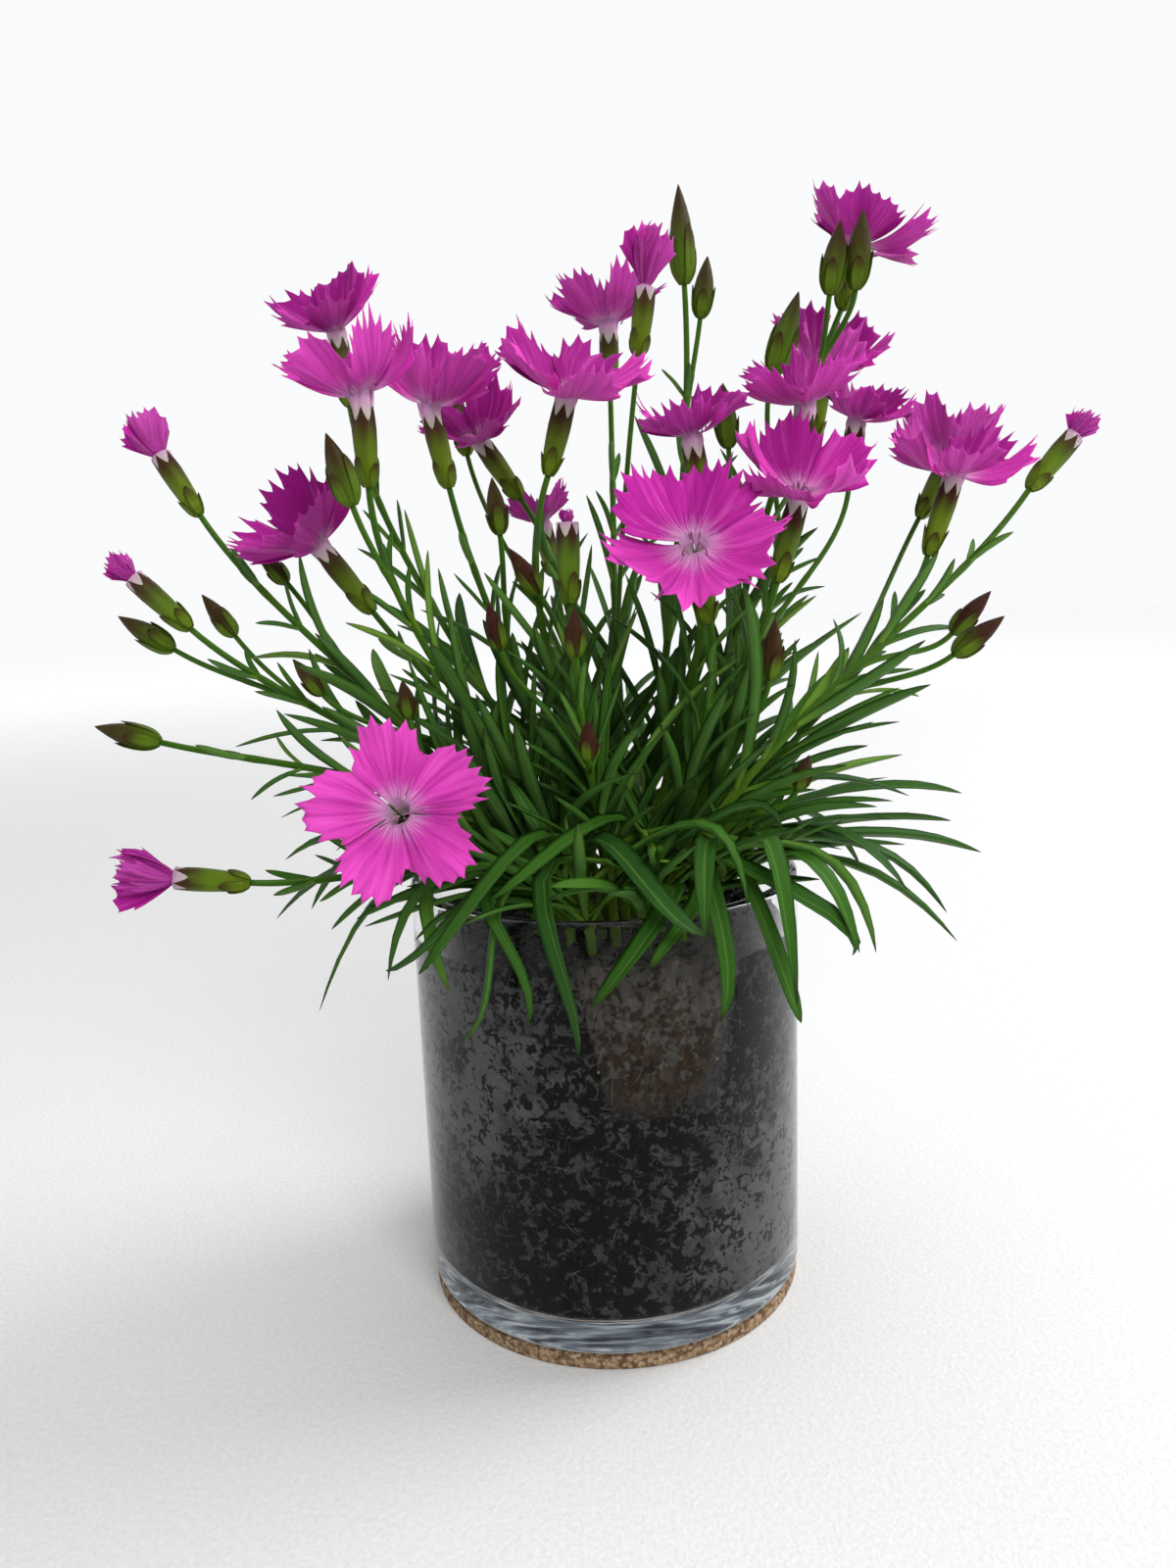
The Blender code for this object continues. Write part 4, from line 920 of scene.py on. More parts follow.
def facing(foot, toward, spin=0.0):
    """A matrix that stands a shape's +Z along the given way, turned by spin about it."""
    turn = Vector(toward).to_track_quat("Z", "Y").to_matrix().to_4x4()
    return Matrix.Translation(foot) @ turn @ Matrix.Rotation(spin, 4, "Z")


def head_way(head):
    return (mm(*head.mouth) - mm(*head.foot)).normalized()


first_head = SHOOTS["left_outer"][0]
print("the first head leans", tuple(round(v, 2) for v in head_way(first_head)))

# %% [markdown]
# ## Keeping clear
#
# No stem or leaf of a real plant grows through another. Each new line is therefore tested against all
# that is already there. Blender's BVH trees find out quickly whether two sets of triangles cross, and a
# box round each set saves most of those tests. The tubes and turned forms here are only as fine as the
# test needs.

# %% Obstacles
class Obstacles:
    """What is already in place. A new piece is clear if it meets nothing of another owner, and if its free
    faces, those away from its root, meet nothing of its own owner either."""

    def __init__(self):
        self.items = []

    @staticmethod
    def bounds(points):
        low = [min(p[i] for p in points) for i in range(3)]
        high = [max(p[i] for p in points) for i in range(3)]
        return low, high

    def add(self, owner, points, faces, free_faces=None):
        whole = BVHTree.FromPolygons(points, faces)
        free = BVHTree.FromPolygons(points, free_faces) if free_faces else whole
        self.items.append((owner, self.bounds(points), whole, free))

    def clear(self, owner, points, faces, free_faces=None):
        low, high = self.bounds(points)
        trees = {}
        for other, (other_low, other_high), whole, free in self.items:
            own = other == owner
            if own and not free_faces:
                continue
            if any(high[i] < other_low[i] or low[i] > other_high[i] for i in range(3)):
                continue
            if own not in trees:
                trees[own] = BVHTree.FromPolygons(points, free_faces if own else faces)
            if trees[own].overlap(free if own else whole):
                return False
        return True


def square_tube(points, radius):
    """Corners and faces of a four-sided tube, to test a stem's path with."""
    corners, faces = [], []
    for i, point in enumerate(points):
        way = points[min(i + 1, len(points) - 1)] - points[max(i - 1, 0)]
        side = way.orthogonal().normalized()
        other = way.cross(side).normalized()
        corners += [point + (side * a + other * b) * radius for a, b in ((1, 0), (0, 1), (-1, 0), (0, -1))]
    for i in range(len(points) - 1):
        for k in range(4):
            a, b = i * 4 + k, i * 4 + (k + 1) % 4
            faces.append((a, b, b + 4, a + 4))
    return corners, faces


def simple_turned(profile, sides, matrix):
    """A plain turned form, to keep leaves clear of calyxes and buds."""
    points, faces = [], []
    for radius, height in profile:
        for k in range(sides):
            turn = math.tau * k / sides
            points.append(matrix @ Vector((radius * math.cos(turn), radius * math.sin(turn), height)))
    for i in range(len(profile) - 1):
        for k in range(sides):
            a, b = i * sides + k, i * sides + (k + 1) % sides
            faces += [(a, b, b + sides), (a, b + sides, a + sides)]
    return points, faces


obstacles = Obstacles()
for node_name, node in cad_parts.items():
    if node_name.startswith(("glass", "potting", "root", "bloom", "opening")):
        node_points = [v.co.copy() for v in node.data.vertices]
        obstacles.add(node_name, node_points, [tuple(p.vertices) for p in node.data.polygons])
print(len(obstacles.items), "solids to keep clear of")

# %% [markdown]
# ## Stems
#
# Each shoot starts in a slot of the crown, the crowded middle from which the plant grows. The slots lie
# on a sunflower spiral, which spaces them evenly, and a shoot takes the free slot nearest to the one that
# it would like. Its stem is a Bezier curve: it leaves the crown nearly upright and arrives at the calyx
# in line with it.

# %% Lines of stems
CROWN = Vector((0.0042, -0.0130))
CROWN_RADIUS = 0.0225
CROWN_SLOTS = 32
CROWN_PULL = 0.26
GOLDEN_ANGLE = math.pi * (3 - math.sqrt(5))
STEM_FOOT_Z = 0.0850
STEM_FREE_Z = 0.0925
STEM_ROOT_RADIUS = 0.0012
STALK_RADIUS = 0.0008
STEM_STEPS = 5
STEM_TRIES = 60
STEM_CLEARANCE = 0.0006
STEM_BOW_STEP = 0.0004
FIRST_PULL, SECOND_PULL = 0.38, 0.30
LEAF_CLEARANCE = 0.0004


@dataclass
class Stalk:
    """A stem or a fork: its points by steps, any point on it, and how thick it is."""

    path: list
    at: object
    root_radius: float
    tip_radius: float


def bezier(start, first, second, end, t):
    s = 1 - t
    return start * s**3 + first * 3 * s * s * t + second * 3 * s * t * t + end * t**3


def clear_path(owner, start, start_way, foot, end_way, rng):
    """A stem's line, bent aside until it is clear: its steps, and a function that gives any point on it."""
    reach = (foot - start).length
    for attempt in range(STEM_TRIES):
        bow = STEM_BOW_STEP * attempt
        sway = Vector((rng.uniform(-bow, bow), rng.uniform(-bow, bow), 0))
        first = start + start_way * reach * FIRST_PULL + sway
        second = foot - end_way * reach * SECOND_PULL + sway * 0.5
        path = [bezier(start, first, second, foot, i / STEM_STEPS) for i in range(STEM_STEPS + 1)]
        if obstacles.clear(owner, *square_tube(path, STEM_ROOT_RADIUS + STEM_CLEARANCE)):
            break
    return path, lambda t: bezier(start, first, second, foot, t)


def crown_slots():
    slots = []
    for i in range(CROWN_SLOTS):
        reach = CROWN_RADIUS * math.sqrt((i + 0.5) / CROWN_SLOTS)
        turn = i * GOLDEN_ANGLE
        slots.append(CROWN + Vector((math.cos(turn), math.sin(turn))) * reach)
    return slots


slots = crown_slots()
stalks, generators = {}, {}


def root_stem(name, wished, foot, end_way):
    rng = random.Random(name)
    slot = min(slots, key=lambda place: (place - wished).length)
    slots.remove(slot)
    start = Vector((*slot, STEM_FREE_Z))
    lean = Vector((foot.x - slot.x, foot.y - slot.y, 0)) * 0.25
    start_way = (lean / max(lean.length, 0.01) * 0.35 + Vector((0, 0, 1))).normalized()
    path, at = clear_path(name, start, start_way, foot, end_way, rng)
    obstacles.add(name, *square_tube(path, STEM_ROOT_RADIUS + LEAF_CLEARANCE))
    stalks[name] = [Stalk(path, at, STEM_ROOT_RADIUS, STALK_RADIUS)]
    generators[name] = rng


for azimuth in TUFT_AZIMUTHS:
    turn = math.radians(azimuth)
    out = Vector((math.cos(turn), math.sin(turn)))
    wished = CROWN + out * CROWN_RADIUS
    top = Vector((*(wished + out * TUFT_LEAN), STEM_FREE_Z + TUFT_HEIGHT))
    root_stem(f"tuft_{azimuth:03d}", wished, top, Vector((*out, 1.2)).normalized())
print(len(stalks), "tufts in", CROWN_SLOTS, "slots")

# %% [markdown]
# The flowering shoots follow the tufts. Each takes its slot, then its heads are set as plain turned
# forms, so that nothing else grows through them, and each further head gets a fork from the main stem.

# %% Shoots and their forks
CALYX_PROFILE = ((0.0, 1.0), (0.0025, 1.0), (0.0026, 0.25), (0.0, -0.04))
BUD_PROFILE = ((0.0, 1.0), (0.0026, 0.45), (0.0019, 0.12), (0.0, -0.04))
BUD_PROFILE_LENGTH = 0.014
HEAD_SIDES = 5
FORK_TIP = 0.9


def bud_size(length):
    """How large a bud is beside a plain one: longer buds are thicker too, within limits."""
    return max(0.75, min(1.15, length / BUD_PROFILE_LENGTH))


for shoot, heads in SHOOTS.items():
    name = f"shoot_{shoot}"
    foot = mm(*heads[0].foot)
    root_stem(name, CROWN + (foot.xy - CROWN) * CROWN_PULL, foot, head_way(heads[0]))
    for head in heads:
        length = (mm(*head.mouth) - mm(*head.foot)).length
        size = bud_size(length) if head.kind == "bud" else 1
        placed = facing(mm(*head.foot), head_way(head)) @ Matrix.Diagonal((size, size, length, 1))
        profile = BUD_PROFILE if head.kind == "bud" else CALYX_PROFILE
        obstacles.add(name, *simple_turned(profile, HEAD_SIDES, placed))
        if not head.fork:
            continue
        path = stalks[name][0].path
        at = head.fork * STEM_STEPS
        i = int(at)
        fork = path[i].lerp(path[i + 1], at - i)
        way = (path[i + 1] - path[i]).normalized()
        rng = generators[name]
        branch, branch_at = clear_path(name, fork, way, mm(*head.foot), head_way(head), rng)
        obstacles.add(name, *square_tube(branch, STALK_RADIUS + LEAF_CLEARANCE))
        stalks[name].append(Stalk(branch, branch_at, STALK_RADIUS, STALK_RADIUS * FORK_TIP))
print(len(stalks), "stems and", sum(len(s) - 1 for s in stalks.values()), "forks")

# %% [markdown]
# ## Lines of leaves
#
# Dianthus leaves stand in pairs, each pair a quarter turn from the one below. They leave the stem at a
# sharp angle and then bend outward, the low ones most. The leaves at the rim arch over the glass and
# hang. After the leaves that the solids have, a second round fills in the shorter, younger ones between
# the pairs, which the solids leave out.

# %% Leaf tables
LEAF_PAIRS = (
    # place on the stem, length, half width, angle at the root, angle at the tip
    (0.04, 0.052, 0.0022, 34, 84),
    (0.13, 0.050, 0.0022, 30, 70),
    (0.24, 0.045, 0.0021, 26, 58),
    (0.38, 0.036, 0.0019, 22, 50),
    (0.57, 0.026, 0.0015, 18, 40),
    (0.80, 0.012, 0.0010, 18, 34),
)
LONG_PAIRS = 4
YOUNG_PAIRS = (
    (0.07, 0.044, 0.0019, 30, 66),
    (0.18, 0.040, 0.0018, 26, 56),
    (0.30, 0.034, 0.0016, 22, 50),
    (0.46, 0.024, 0.0014, 20, 42),
    (0.68, 0.013, 0.0010, 18, 36),
)
LONG_YOUNG_PAIRS = 3
# azimuth in degrees, reach from the pot's axis and tip height in millimetres, rise above the rim
RIM_LEAVES = (
    (210, 70, 80, 20),
    (196, 75, 96, 15),
    (226, 63, 90, 21),
    (313, 60, 78, 24),
    (319, 67, 92, 20),
    (338, 78, 95, 16),
    (353, 86, 103, 12),
    (3, 83, 107, 14),
    (22, 72, 90, 18),
    (40, 66, 84, 22),
    (60, 60, 90, 24),
    (83, 58, 82, 25),
    (104, 62, 92, 22),
    (127, 60, 84, 23),
    (148, 68, 94, 18),
    (170, 74, 88, 16),
)
RIM_LEAF_HALF_WIDTH = 0.0023
# leaves that cross the others: first the tuft that they grow from, and then as for the leaves above
CROSSING_LEAVES = (
    (282, 223, 60, 95, 25),
    (240, 301, 58, 96, 28),
    (330, 289, 58, 99, 33),
    (282, 326, 66, 86, 21),
    (195, 232, 62, 99, 24),
    (20, 340, 80, 88, 16),
    (20, 329, 72, 99, 22),
    (330, 350, 82, 96, 18),
    (240, 216, 62, 112, 28),
    (282, 246, 52, 116, 33),
    (330, 262, 50, 112, 36),
    (240, 312, 54, 116, 35),
    (330, 312, 56, 118, 32),
    (20, 355, 82, 116, 22),
    (195, 180, 74, 104, 20),
    (75, 108, 58, 96, 26),
    (135, 96, 60, 88, 26),
    (135, 164, 70, 101, 20),
    (75, 34, 66, 98, 22),
    (195, 158, 68, 105, 22),
    (20, 52, 62, 92, 24),
)
# broad leaves in front of the glass: the tuft that each grows from, its half width in millimetres, and
# the three places that it passes, of which the last is its tip
FRONT_LEAVES = (
    (240, 2.5, (-11, -34, 115), (-21, -46, 110), (-36, -49, 91)),
    (240, 2.1, (-14, -31, 111), (-24, -43, 108), (-43, -51, 94)),
    (240, 1.9, (-21, -42, 105), (-24, -45, 91), (-30, -45, 76)),
    (240, 1.5, (-24, -41, 103), (-18, -47, 93), (-16, -49, 80)),
    (282, 2.6, (-12, -43, 107), (-9, -51, 92), (-6, -53, 75)),
    (282, 2.6, (-12, -39, 110), (1, -54, 97), (14, -57, 88)),
    (282, 2.9, (14, -42, 107), (6, -54, 98), (-3, -58, 88)),
    (240, 2.8, (-3, -36, 116), (7, -50, 111), (19, -57, 101)),
    (282, 2.0, (20, -39, 107), (14, -50, 100), (8, -53, 93)),
    (330, 1.9, (21, -38, 107), (23, -47, 95), (22, -48, 80)),
    (330, 2.2, (30, -34, 105), (35, -40, 92), (40, -38, 75)),
    (330, 2.6, (20, -30, 113), (35, -40, 106), (50, -40, 90)),
    (330, 2.2, (30, -22, 112), (41, -36, 103), (51, -37, 87)),
    (195, 1.6, (-36, -30, 105), (-35, -38, 95), (-31, -43, 85)),
    (282, 2.6, (5, -32, 119), (-6, -44, 118), (-22, -53, 108)),
    (330, 2.7, (12, -22, 122), (-4, -40, 127), (-19, -48, 134)),
)
print(len(FRONT_LEAVES), "leaves in front,", len(RIM_LEAVES) + len(CROSSING_LEAVES), "over the rim")

# %% [markdown]
# ## Shapes of the lines
#
# A leaf on a stem bends away from it at a steady rate. A leaf at the rim follows a plain arch with its
# peak halfway out. A broad leaf in front of the glass passes three places that were read from the photo,
# one after the other.

# %% Leaf lines
LEAF_STEPS = 24
LEAF_ROOT_OFFSET = 0.0004
ARCH_REACH = 0.007


@dataclass
class Leaf:
    """A leaf's line, which way its edge lies, its half width, and how young it is, from 0 to 1."""

    line: list
    side: Vector
    half_width: float
    young: float


def bent_line(start, along, away, root_angle, tip_angle, length):
    """Points of a blade that leaves its stem and bends away from it."""
    point = start.copy()
    line = [point + away * LEAF_ROOT_OFFSET]
    for i in range(LEAF_STEPS):
        angle = math.radians(root_angle + (tip_angle - root_angle) * (i + 0.5) / LEAF_STEPS)
        point = point + (along * math.cos(angle) + away * math.sin(angle)) * (length / LEAF_STEPS)
        line.append(point)
    return line


def arched_point(start, tip, rise, t):
    """A point of a blade that arches over the rim: up, outward and down to its tip."""
    out = Vector((tip.x, tip.y, 0))
    reach = Vector((start.x, start.y, 0)).length
    peak = out.normalized() * ((reach + out.length) / 2 + ARCH_REACH)
    peak.z = RIM_Z + rise / 1000
    return start * (1 - t) ** 2 + peak * 2 * t * (1 - t) + tip * t * t


def curve_through(points, t):
    """A point of the smooth line through the given points, which are spaced on it as they are in space."""
    gaps = [(b - a).length for a, b in zip(points, points[1:])]
    knots = [sum(gaps[:i]) / sum(gaps) for i in range(len(points))]
    total = Vector((0, 0, 0))
    for i, point in enumerate(points):
        weight = math.prod((t - knots[j]) / (knots[i] - knots[j]) for j in range(len(points)) if j != i)
        total += point * weight
    return total


print("a leaf's line has", LEAF_STEPS + 1, "points")

# %% [markdown]
# ## Leaves that keep clear
#
# Every leaf is tried as a plain keeled blade of a few rows. When it would touch another shoot it is drawn
# again, a little shorter and with more freedom to turn. A leaf that finds no room after all its tries is
# left out.

# %% Clear leaves
# rows of the plain blades: how far along the leaf, and how wide there
LEAF_ROWS = ((0.30, 1.0), (0.68, 0.86))
SHORT_LEAF_ROWS = ((0.42, 1.0),)
RIM_LEAF_ROWS = ((0.26, 0.9), (0.52, 1.0), (0.78, 0.78))
LEAF_KEEL = 0.0009
ROOT_FACES = 3
LEAF_TRIES = 26
FINE_WIDTH = 0.84


def plain_blade(line, side, rows, half_width, extra=0.0):
    """Corners and faces of a plain blade, to test with: root, two edges and a keel at each row, tip."""
    points = [line[0]]
    for i, (_, share) in enumerate(rows, start=1):
        way = (line[i + 1] - line[i - 1]).normalized()
        under = side.cross(way).normalized()
        edge = side * (half_width * share + extra)
        above = line[i] - under * extra
        points += [above - edge, above + edge, line[i] + under * (LEAF_KEEL + extra)]
    points.append(line[-1])
    last = len(points) - 1
    faces = [(0, 1 + k, 1 + (k + 1) % 3) for k in range(3)]
    for row in range(1, last - 3, 3):
        for k in range(3):
            a, b = row + k, row + (k + 1) % 3
            faces += [(a, b, b + 3), (a, b + 3, a + 3)]
    faces += [(last - 3 + k, last - 3 + (k + 1) % 3, last) for k in range(3)]
    return points, faces


def leaf_clear(owner, line, side, rows, half_width, clearance=LEAF_CLEARANCE):
    """Whether a blade is clear. If it is, it is an obstacle from now on."""
    points, faces = plain_blade(line, side, rows, half_width, clearance)
    if not obstacles.clear(owner, points, faces, faces[ROOT_FACES:]):
        return False
    points, faces = plain_blade(line, side, rows, half_width)
    obstacles.add(owner, points, faces, faces[ROOT_FACES:])
    return True


def stem_leaf(owner, pair, long, turn, rng, clearance=LEAF_CLEARANCE):
    """One leaf of a pair, redrawn until it is clear of the other shoots, or None."""
    place, length, half_width, root_angle, tip_angle = pair
    stalk = stalks[owner][0]
    rows = LEAF_ROWS if long else SHORT_LEAF_ROWS
    shares = [0.0, *(share for share, _ in rows), 1.0]
    at = place * STEM_STEPS
    i = min(int(at), STEM_STEPS - 1)
    start = stalk.path[i].lerp(stalk.path[i + 1], at - i)
    along = (stalk.path[i + 1] - stalk.path[i]).normalized()
    first_side = along.cross(Vector((0, 1, 0.2))).normalized()
    for attempt in range(LEAF_TRIES):
        loose = 0.3 + attempt / LEAF_TRIES
        spin = turn + rng.uniform(-1, 1) * loose
        away = Matrix.Rotation(spin, 3, along) @ first_side
        bend = tip_angle + rng.uniform(-22, 26)
        size = length * rng.uniform(0.78, 1.12) * (1 - 0.3 * attempt / LEAF_TRIES)
        line = bent_line(start, along, away, root_angle + rng.uniform(-8, 8), bend, size)
        side = along.cross(away)
        coarse = [line[round(s * LEAF_STEPS)] for s in shares]
        if leaf_clear(owner, coarse, side, rows, half_width, clearance):
            shift = stalk.at(place) - start
            return Leaf([p + shift for p in line], side, half_width * FINE_WIDTH, place)
    return None


def rim_leaf(owner, start, azimuth, reach, tip_z, rise, rng, half_width=RIM_LEAF_HALF_WIDTH):
    """One leaf that arches over the rim and hangs outside the glass, or None."""
    shares = [0.0, *(share for share, _ in RIM_LEAF_ROWS), 1.0]
    for attempt in range(LEAF_TRIES):
        turn = math.radians(azimuth + rng.uniform(-1, 1) * attempt * 0.35)
        tip = Vector((math.cos(turn), math.sin(turn), 0)) * reach / 1000
        tip.z = (tip_z + rng.uniform(0, 0.4) * attempt) / 1000
        high = rise + rng.uniform(0, 0.5) * attempt
        line = [arched_point(start, tip, high, s) for s in shares]
        side = Vector((0, 0, 1)).cross(line[-1] - line[0]).normalized()
        if leaf_clear(owner, line, side, RIM_LEAF_ROWS, half_width):
            fine = [arched_point(start, tip, high, i / LEAF_STEPS) for i in range(LEAF_STEPS + 1)]
            return Leaf(fine, side, half_width, 0.0)
    return None


def front_leaf(owner, start, half_width, places, rng):
    """One broad leaf in front of the glass, moved outward until it is clear, or None."""
    shares = [0.0, *(share for share, _ in RIM_LEAF_ROWS), 1.0]
    for attempt in range(LEAF_TRIES):
        push = Vector((0, -1, 0.6)) * rng.uniform(0, 0.0003) * attempt
        points = [start, *(mm(*place) + push for place in places)]
        line = [curve_through(points, t) for t in shares]
        side = Vector((0, 0, 1)).cross(line[-1] - line[0]).normalized()
        if leaf_clear(owner, line, side, RIM_LEAF_ROWS, half_width / 1000):
            fine = [curve_through(points, i / LEAF_STEPS) for i in range(LEAF_STEPS + 1)]
            return Leaf(fine, side, half_width / 1000, 0.0)
    return None


leaves = {name: [] for name in stalks}


def keep(name, leaf):
    if leaf:
        leaves[name].append(leaf)


print("each leaf has", LEAF_TRIES, "tries")

# %% [markdown]
# The order matters: whoever comes first finds the most room. The broad leaves in front come first,
# because the photo shows them best, then those over the rim, and then the pairs, from the lowest up.

# %% Leaves that the solids have
for number, (tuft, half_width, *passes) in enumerate(FRONT_LEAVES):
    name = f"tuft_{tuft:03d}"
    start = stalks[name][0].path[2 + number % 3]
    keep(name, front_leaf(name, start, half_width, passes, random.Random(f"{name}_front_{number}")))
print(sum(len(found) for found in leaves.values()), "of", len(FRONT_LEAVES), "leaves in front of the glass")

for azimuth, reach, tip_z, rise in RIM_LEAVES:
    nearest = min(TUFT_AZIMUTHS, key=lambda a: abs((a - azimuth + 180) % 360 - 180))
    name = f"tuft_{nearest:03d}"
    start = stalks[name][0].path[2 + azimuth % 3]
    rng = random.Random(f"{name}_{azimuth}")
    keep(name, rim_leaf(name, start, azimuth, reach, tip_z, rise, rng))

for tuft, azimuth, reach, tip_z, rise in CROSSING_LEAVES:
    name = f"tuft_{tuft:03d}"
    start = stalks[name][0].path[1 + azimuth % 4]
    rng = random.Random(f"{name}_crossing_{azimuth}")
    keep(name, rim_leaf(name, start, azimuth, reach, tip_z, rise, rng))

shoot_names = [name for name in stalks if name.startswith("shoot")]
tuft_names = [name for name in stalks if name.startswith("tuft")]
for rank, pair in enumerate(LEAF_PAIRS):
    for name in shoot_names:
        rng = random.Random(f"{name}_{rank}")
        turn = rng.uniform(-0.4, 0.4) + rank * math.pi / 2
        for partner in range(2):
            keep(name, stem_leaf(name, pair, rank < LONG_PAIRS, turn + math.pi * partner, rng))
for name in tuft_names:
    rng = random.Random(f"{name}_leaves")
    for k in range(TUFT_LEAVES):
        keep(name, stem_leaf(name, LEAF_PAIRS[k % 3 + 1], True, k * math.pi / 3, rng))
print(sum(len(found) for found in leaves.values()), "leaves that the solids have")

# %% [markdown]
# The younger leaves may come closer to the others than the solid ones, because they are only drawn here.

# %% Young leaves between the pairs
YOUNG_CLEARANCE = 0.0001
for rank, pair in enumerate(YOUNG_PAIRS):
    for name in shoot_names + tuft_names:
        rng = random.Random(f"{name}_young_{rank}")
        turn = rng.uniform(-0.4, 0.4) + (rank + 0.5) * math.pi / 2
        for partner in range(2):
            spin = turn + math.pi * partner
            keep(name, stem_leaf(name, pair, rank < LONG_YOUNG_PAIRS, spin, rng, YOUNG_CLEARANCE))
print(sum(len(found) for found in leaves.values()), "leaves in all")

# %% [markdown]
# ## Green finishes
#
# A leaf is yellow-green where it clasps the stem, deep green along the blade and dark, almost purple, at
# its tip. A thin wax bloom makes some leaves bluish. Veins run with the blade, so their noise is
# stretched along it. Stems, calyxes and buds share a second finish, in which the mark `blush` brings the
# dark maroon of the calyx teeth.

# %% Leaf finish
OLD_LEAF, FULL_LEAF = (0.016, 0.068, 0.011), (0.035, 0.122, 0.011)
FRESH_LEAF, YOUNG_LEAF = (0.083, 0.212, 0.024), (0.165, 0.315, 0.030)
LEAF_BASE, LEAF_VEIN = (0.170, 0.330, 0.020), (0.100, 0.220, 0.040)
LEAF_RIB, LEAF_WAX = (0.160, 0.310, 0.060), (0.120, 0.230, 0.065)
LEAF_TIP = (0.022, 0.020, 0.012)
LEAF_RELIEF = 0.00012

leaf_finish = Finish("leaf", 0.38, Specular_IOR_Level=0.06)
along, across, tint = (leaf_finish.mark(name) for name in ("along", "across", "tint"))
veins = leaf_finish.grain(leaf_finish.blade_place(7.0, 1.6), 3.0, 3.0)
deep = leaf_finish.ramp(tint, (0.0, OLD_LEAF), (0.45, FULL_LEAF), (0.75, FRESH_LEAF), (1.0, YOUNG_LEAF))
fresh = leaf_finish.blend(leaf_finish.spread(along, 0.0, 0.30, 0.80, 0.0), deep, LEAF_BASE)
veined = leaf_finish.blend(leaf_finish.spread(veins, 0.35, 0.75, 0.0, 0.25), fresh, LEAF_VEIN)
rib = leaf_finish.spread(leaf_finish.maths("ABSOLUTE", across), 0.0, 0.16, 0.40, 0.0)
ribbed = leaf_finish.blend(rib, veined, LEAF_RIB)
wax = leaf_finish.spread(leaf_finish.mark("under"), 0.0, 1.0, 0.0, 0.30)
waxed = leaf_finish.blend(wax, ribbed, LEAF_WAX)
leaf_finish.paint(leaf_finish.blend(leaf_finish.mark("blush"), waxed, LEAF_TIP))
leaf_finish.relief(veins, LEAF_RELIEF)
print("leaf finish ready")

# %% [markdown]
# Stems are a lighter, yellower green than the leaves, with fine ridges along them.

# %% Finish of stems, calyxes and buds
STEM_DEEP, STEM_PLAIN, STEM_PALE = (0.040, 0.130, 0.008), (0.085, 0.190, 0.012), (0.190, 0.260, 0.012)
STEM_RIDGE, MAROON = (0.036, 0.092, 0.006), (0.052, 0.011, 0.009)
STEM_RELIEF = 0.00015

green = Finish("stem_and_calyx", 0.40, Specular_IOR_Level=0.10)
green_tint = green.mark("tint")
ridges = green.grain(green.blade_place(26.0, 1.2), 3.0, 2.0)
stem_tone = green.ramp(green_tint, (0.0, STEM_DEEP), (0.5, STEM_PLAIN), (1.0, STEM_PALE))
striped = green.blend(green.spread(ridges, 0.4, 0.7, 0.0, 0.45), stem_tone, STEM_RIDGE)
mottle = green.grain(green.place(), 500.0, 3.0)
mottling = green.spread(green.maths("ADD", ridges, mottle), 0.55, 1.0, 0.75, 1.0)
blushed = green.maths("MULTIPLY", green.mark("blush"), mottling)
green.paint(green.blend(blushed, striped, MAROON))
green.relief(ridges, STEM_RELIEF)
print("stem finish ready")

# %% [markdown]
# ## Leaf blades
#
# Each blade is lofted along its line from rings of eight points: five over the top, three below. The
# middle of the top is lower than the edges, which gives the channel of a real leaf, and the middle below
# is lower still, its keel.

# %% Leaf blades
BLADE_ROWS = (0.0, 0.04, 0.10, 0.18, 0.28, 0.40, 0.52, 0.64, 0.75, 0.85, 0.93, 0.98, 1.0)
BLADE_WIDTHS = (
    (0.0, 0.50), (0.08, 0.66), (0.28, 0.96), (0.50, 1.0),
    (0.72, 0.92), (0.88, 0.62), (0.96, 0.30), (1.0, 0.03),
)
BLADE_ACROSS = np.array((-1.0, -0.55, 0.0, 0.55, 1.0, 0.5, 0.0, -0.5))
BLADE_UNDER = np.array((0, 0, 0, 0, 0, 1, 1, 1))
BLADE_THICKNESS = 0.0003
BLADE_KEEL = 0.0002
LEAF_SWAY = 0.0006
# the share of pale leaves, and how much lighter they are
PALE_LEAVES, PALE_LEAF_TINT = 0.12, 0.35


def blade_rings(line, side, half_width, channel, twist, sway):
    """Rings of a leaf along its line: a channel above, a keel below, and a point at the end."""
    full = np.array([tuple(p) for p in line])
    spots = np.linspace(0, 1, len(full))
    points = np.stack([np.interp(BLADE_ROWS, spots, full[:, i]) for i in range(3)], axis=1)
    ways = np.gradient(points, axis=0)
    ways /= np.linalg.norm(ways, axis=1)[:, None]
    widths = half_width * np.interp(BLADE_ROWS, *zip(*BLADE_WIDTHS))
    rings = np.empty((len(points), len(BLADE_ACROSS), 3))
    for i, (point, way, share, wide) in enumerate(zip(points, ways, BLADE_ROWS, widths)):
        under = np.cross(side, way)
        under /= np.linalg.norm(under)
        edge = np.cross(way, under)
        turn = twist * share
        twisted = edge * math.cos(turn) + under * math.sin(turn)
        under = under * math.cos(turn) - edge * math.sin(turn)
        edge = twisted
        hollow = channel * wide * (1 - np.abs(BLADE_ACROSS))
        thick = BLADE_THICKNESS * min(1.0, wide / half_width + 0.15) * (1 - 0.6 * BLADE_ACROSS**2)
        keel = BLADE_KEEL * (1 - np.abs(BLADE_ACROSS)) * wide / half_width
        depth = hollow + BLADE_UNDER * (thick + keel)
        centre = point + edge * sway * math.sin(math.pi * share)
        rings[i] = centre + np.outer(BLADE_ACROSS * wide, edge) + np.outer(depth, under)
    return rings


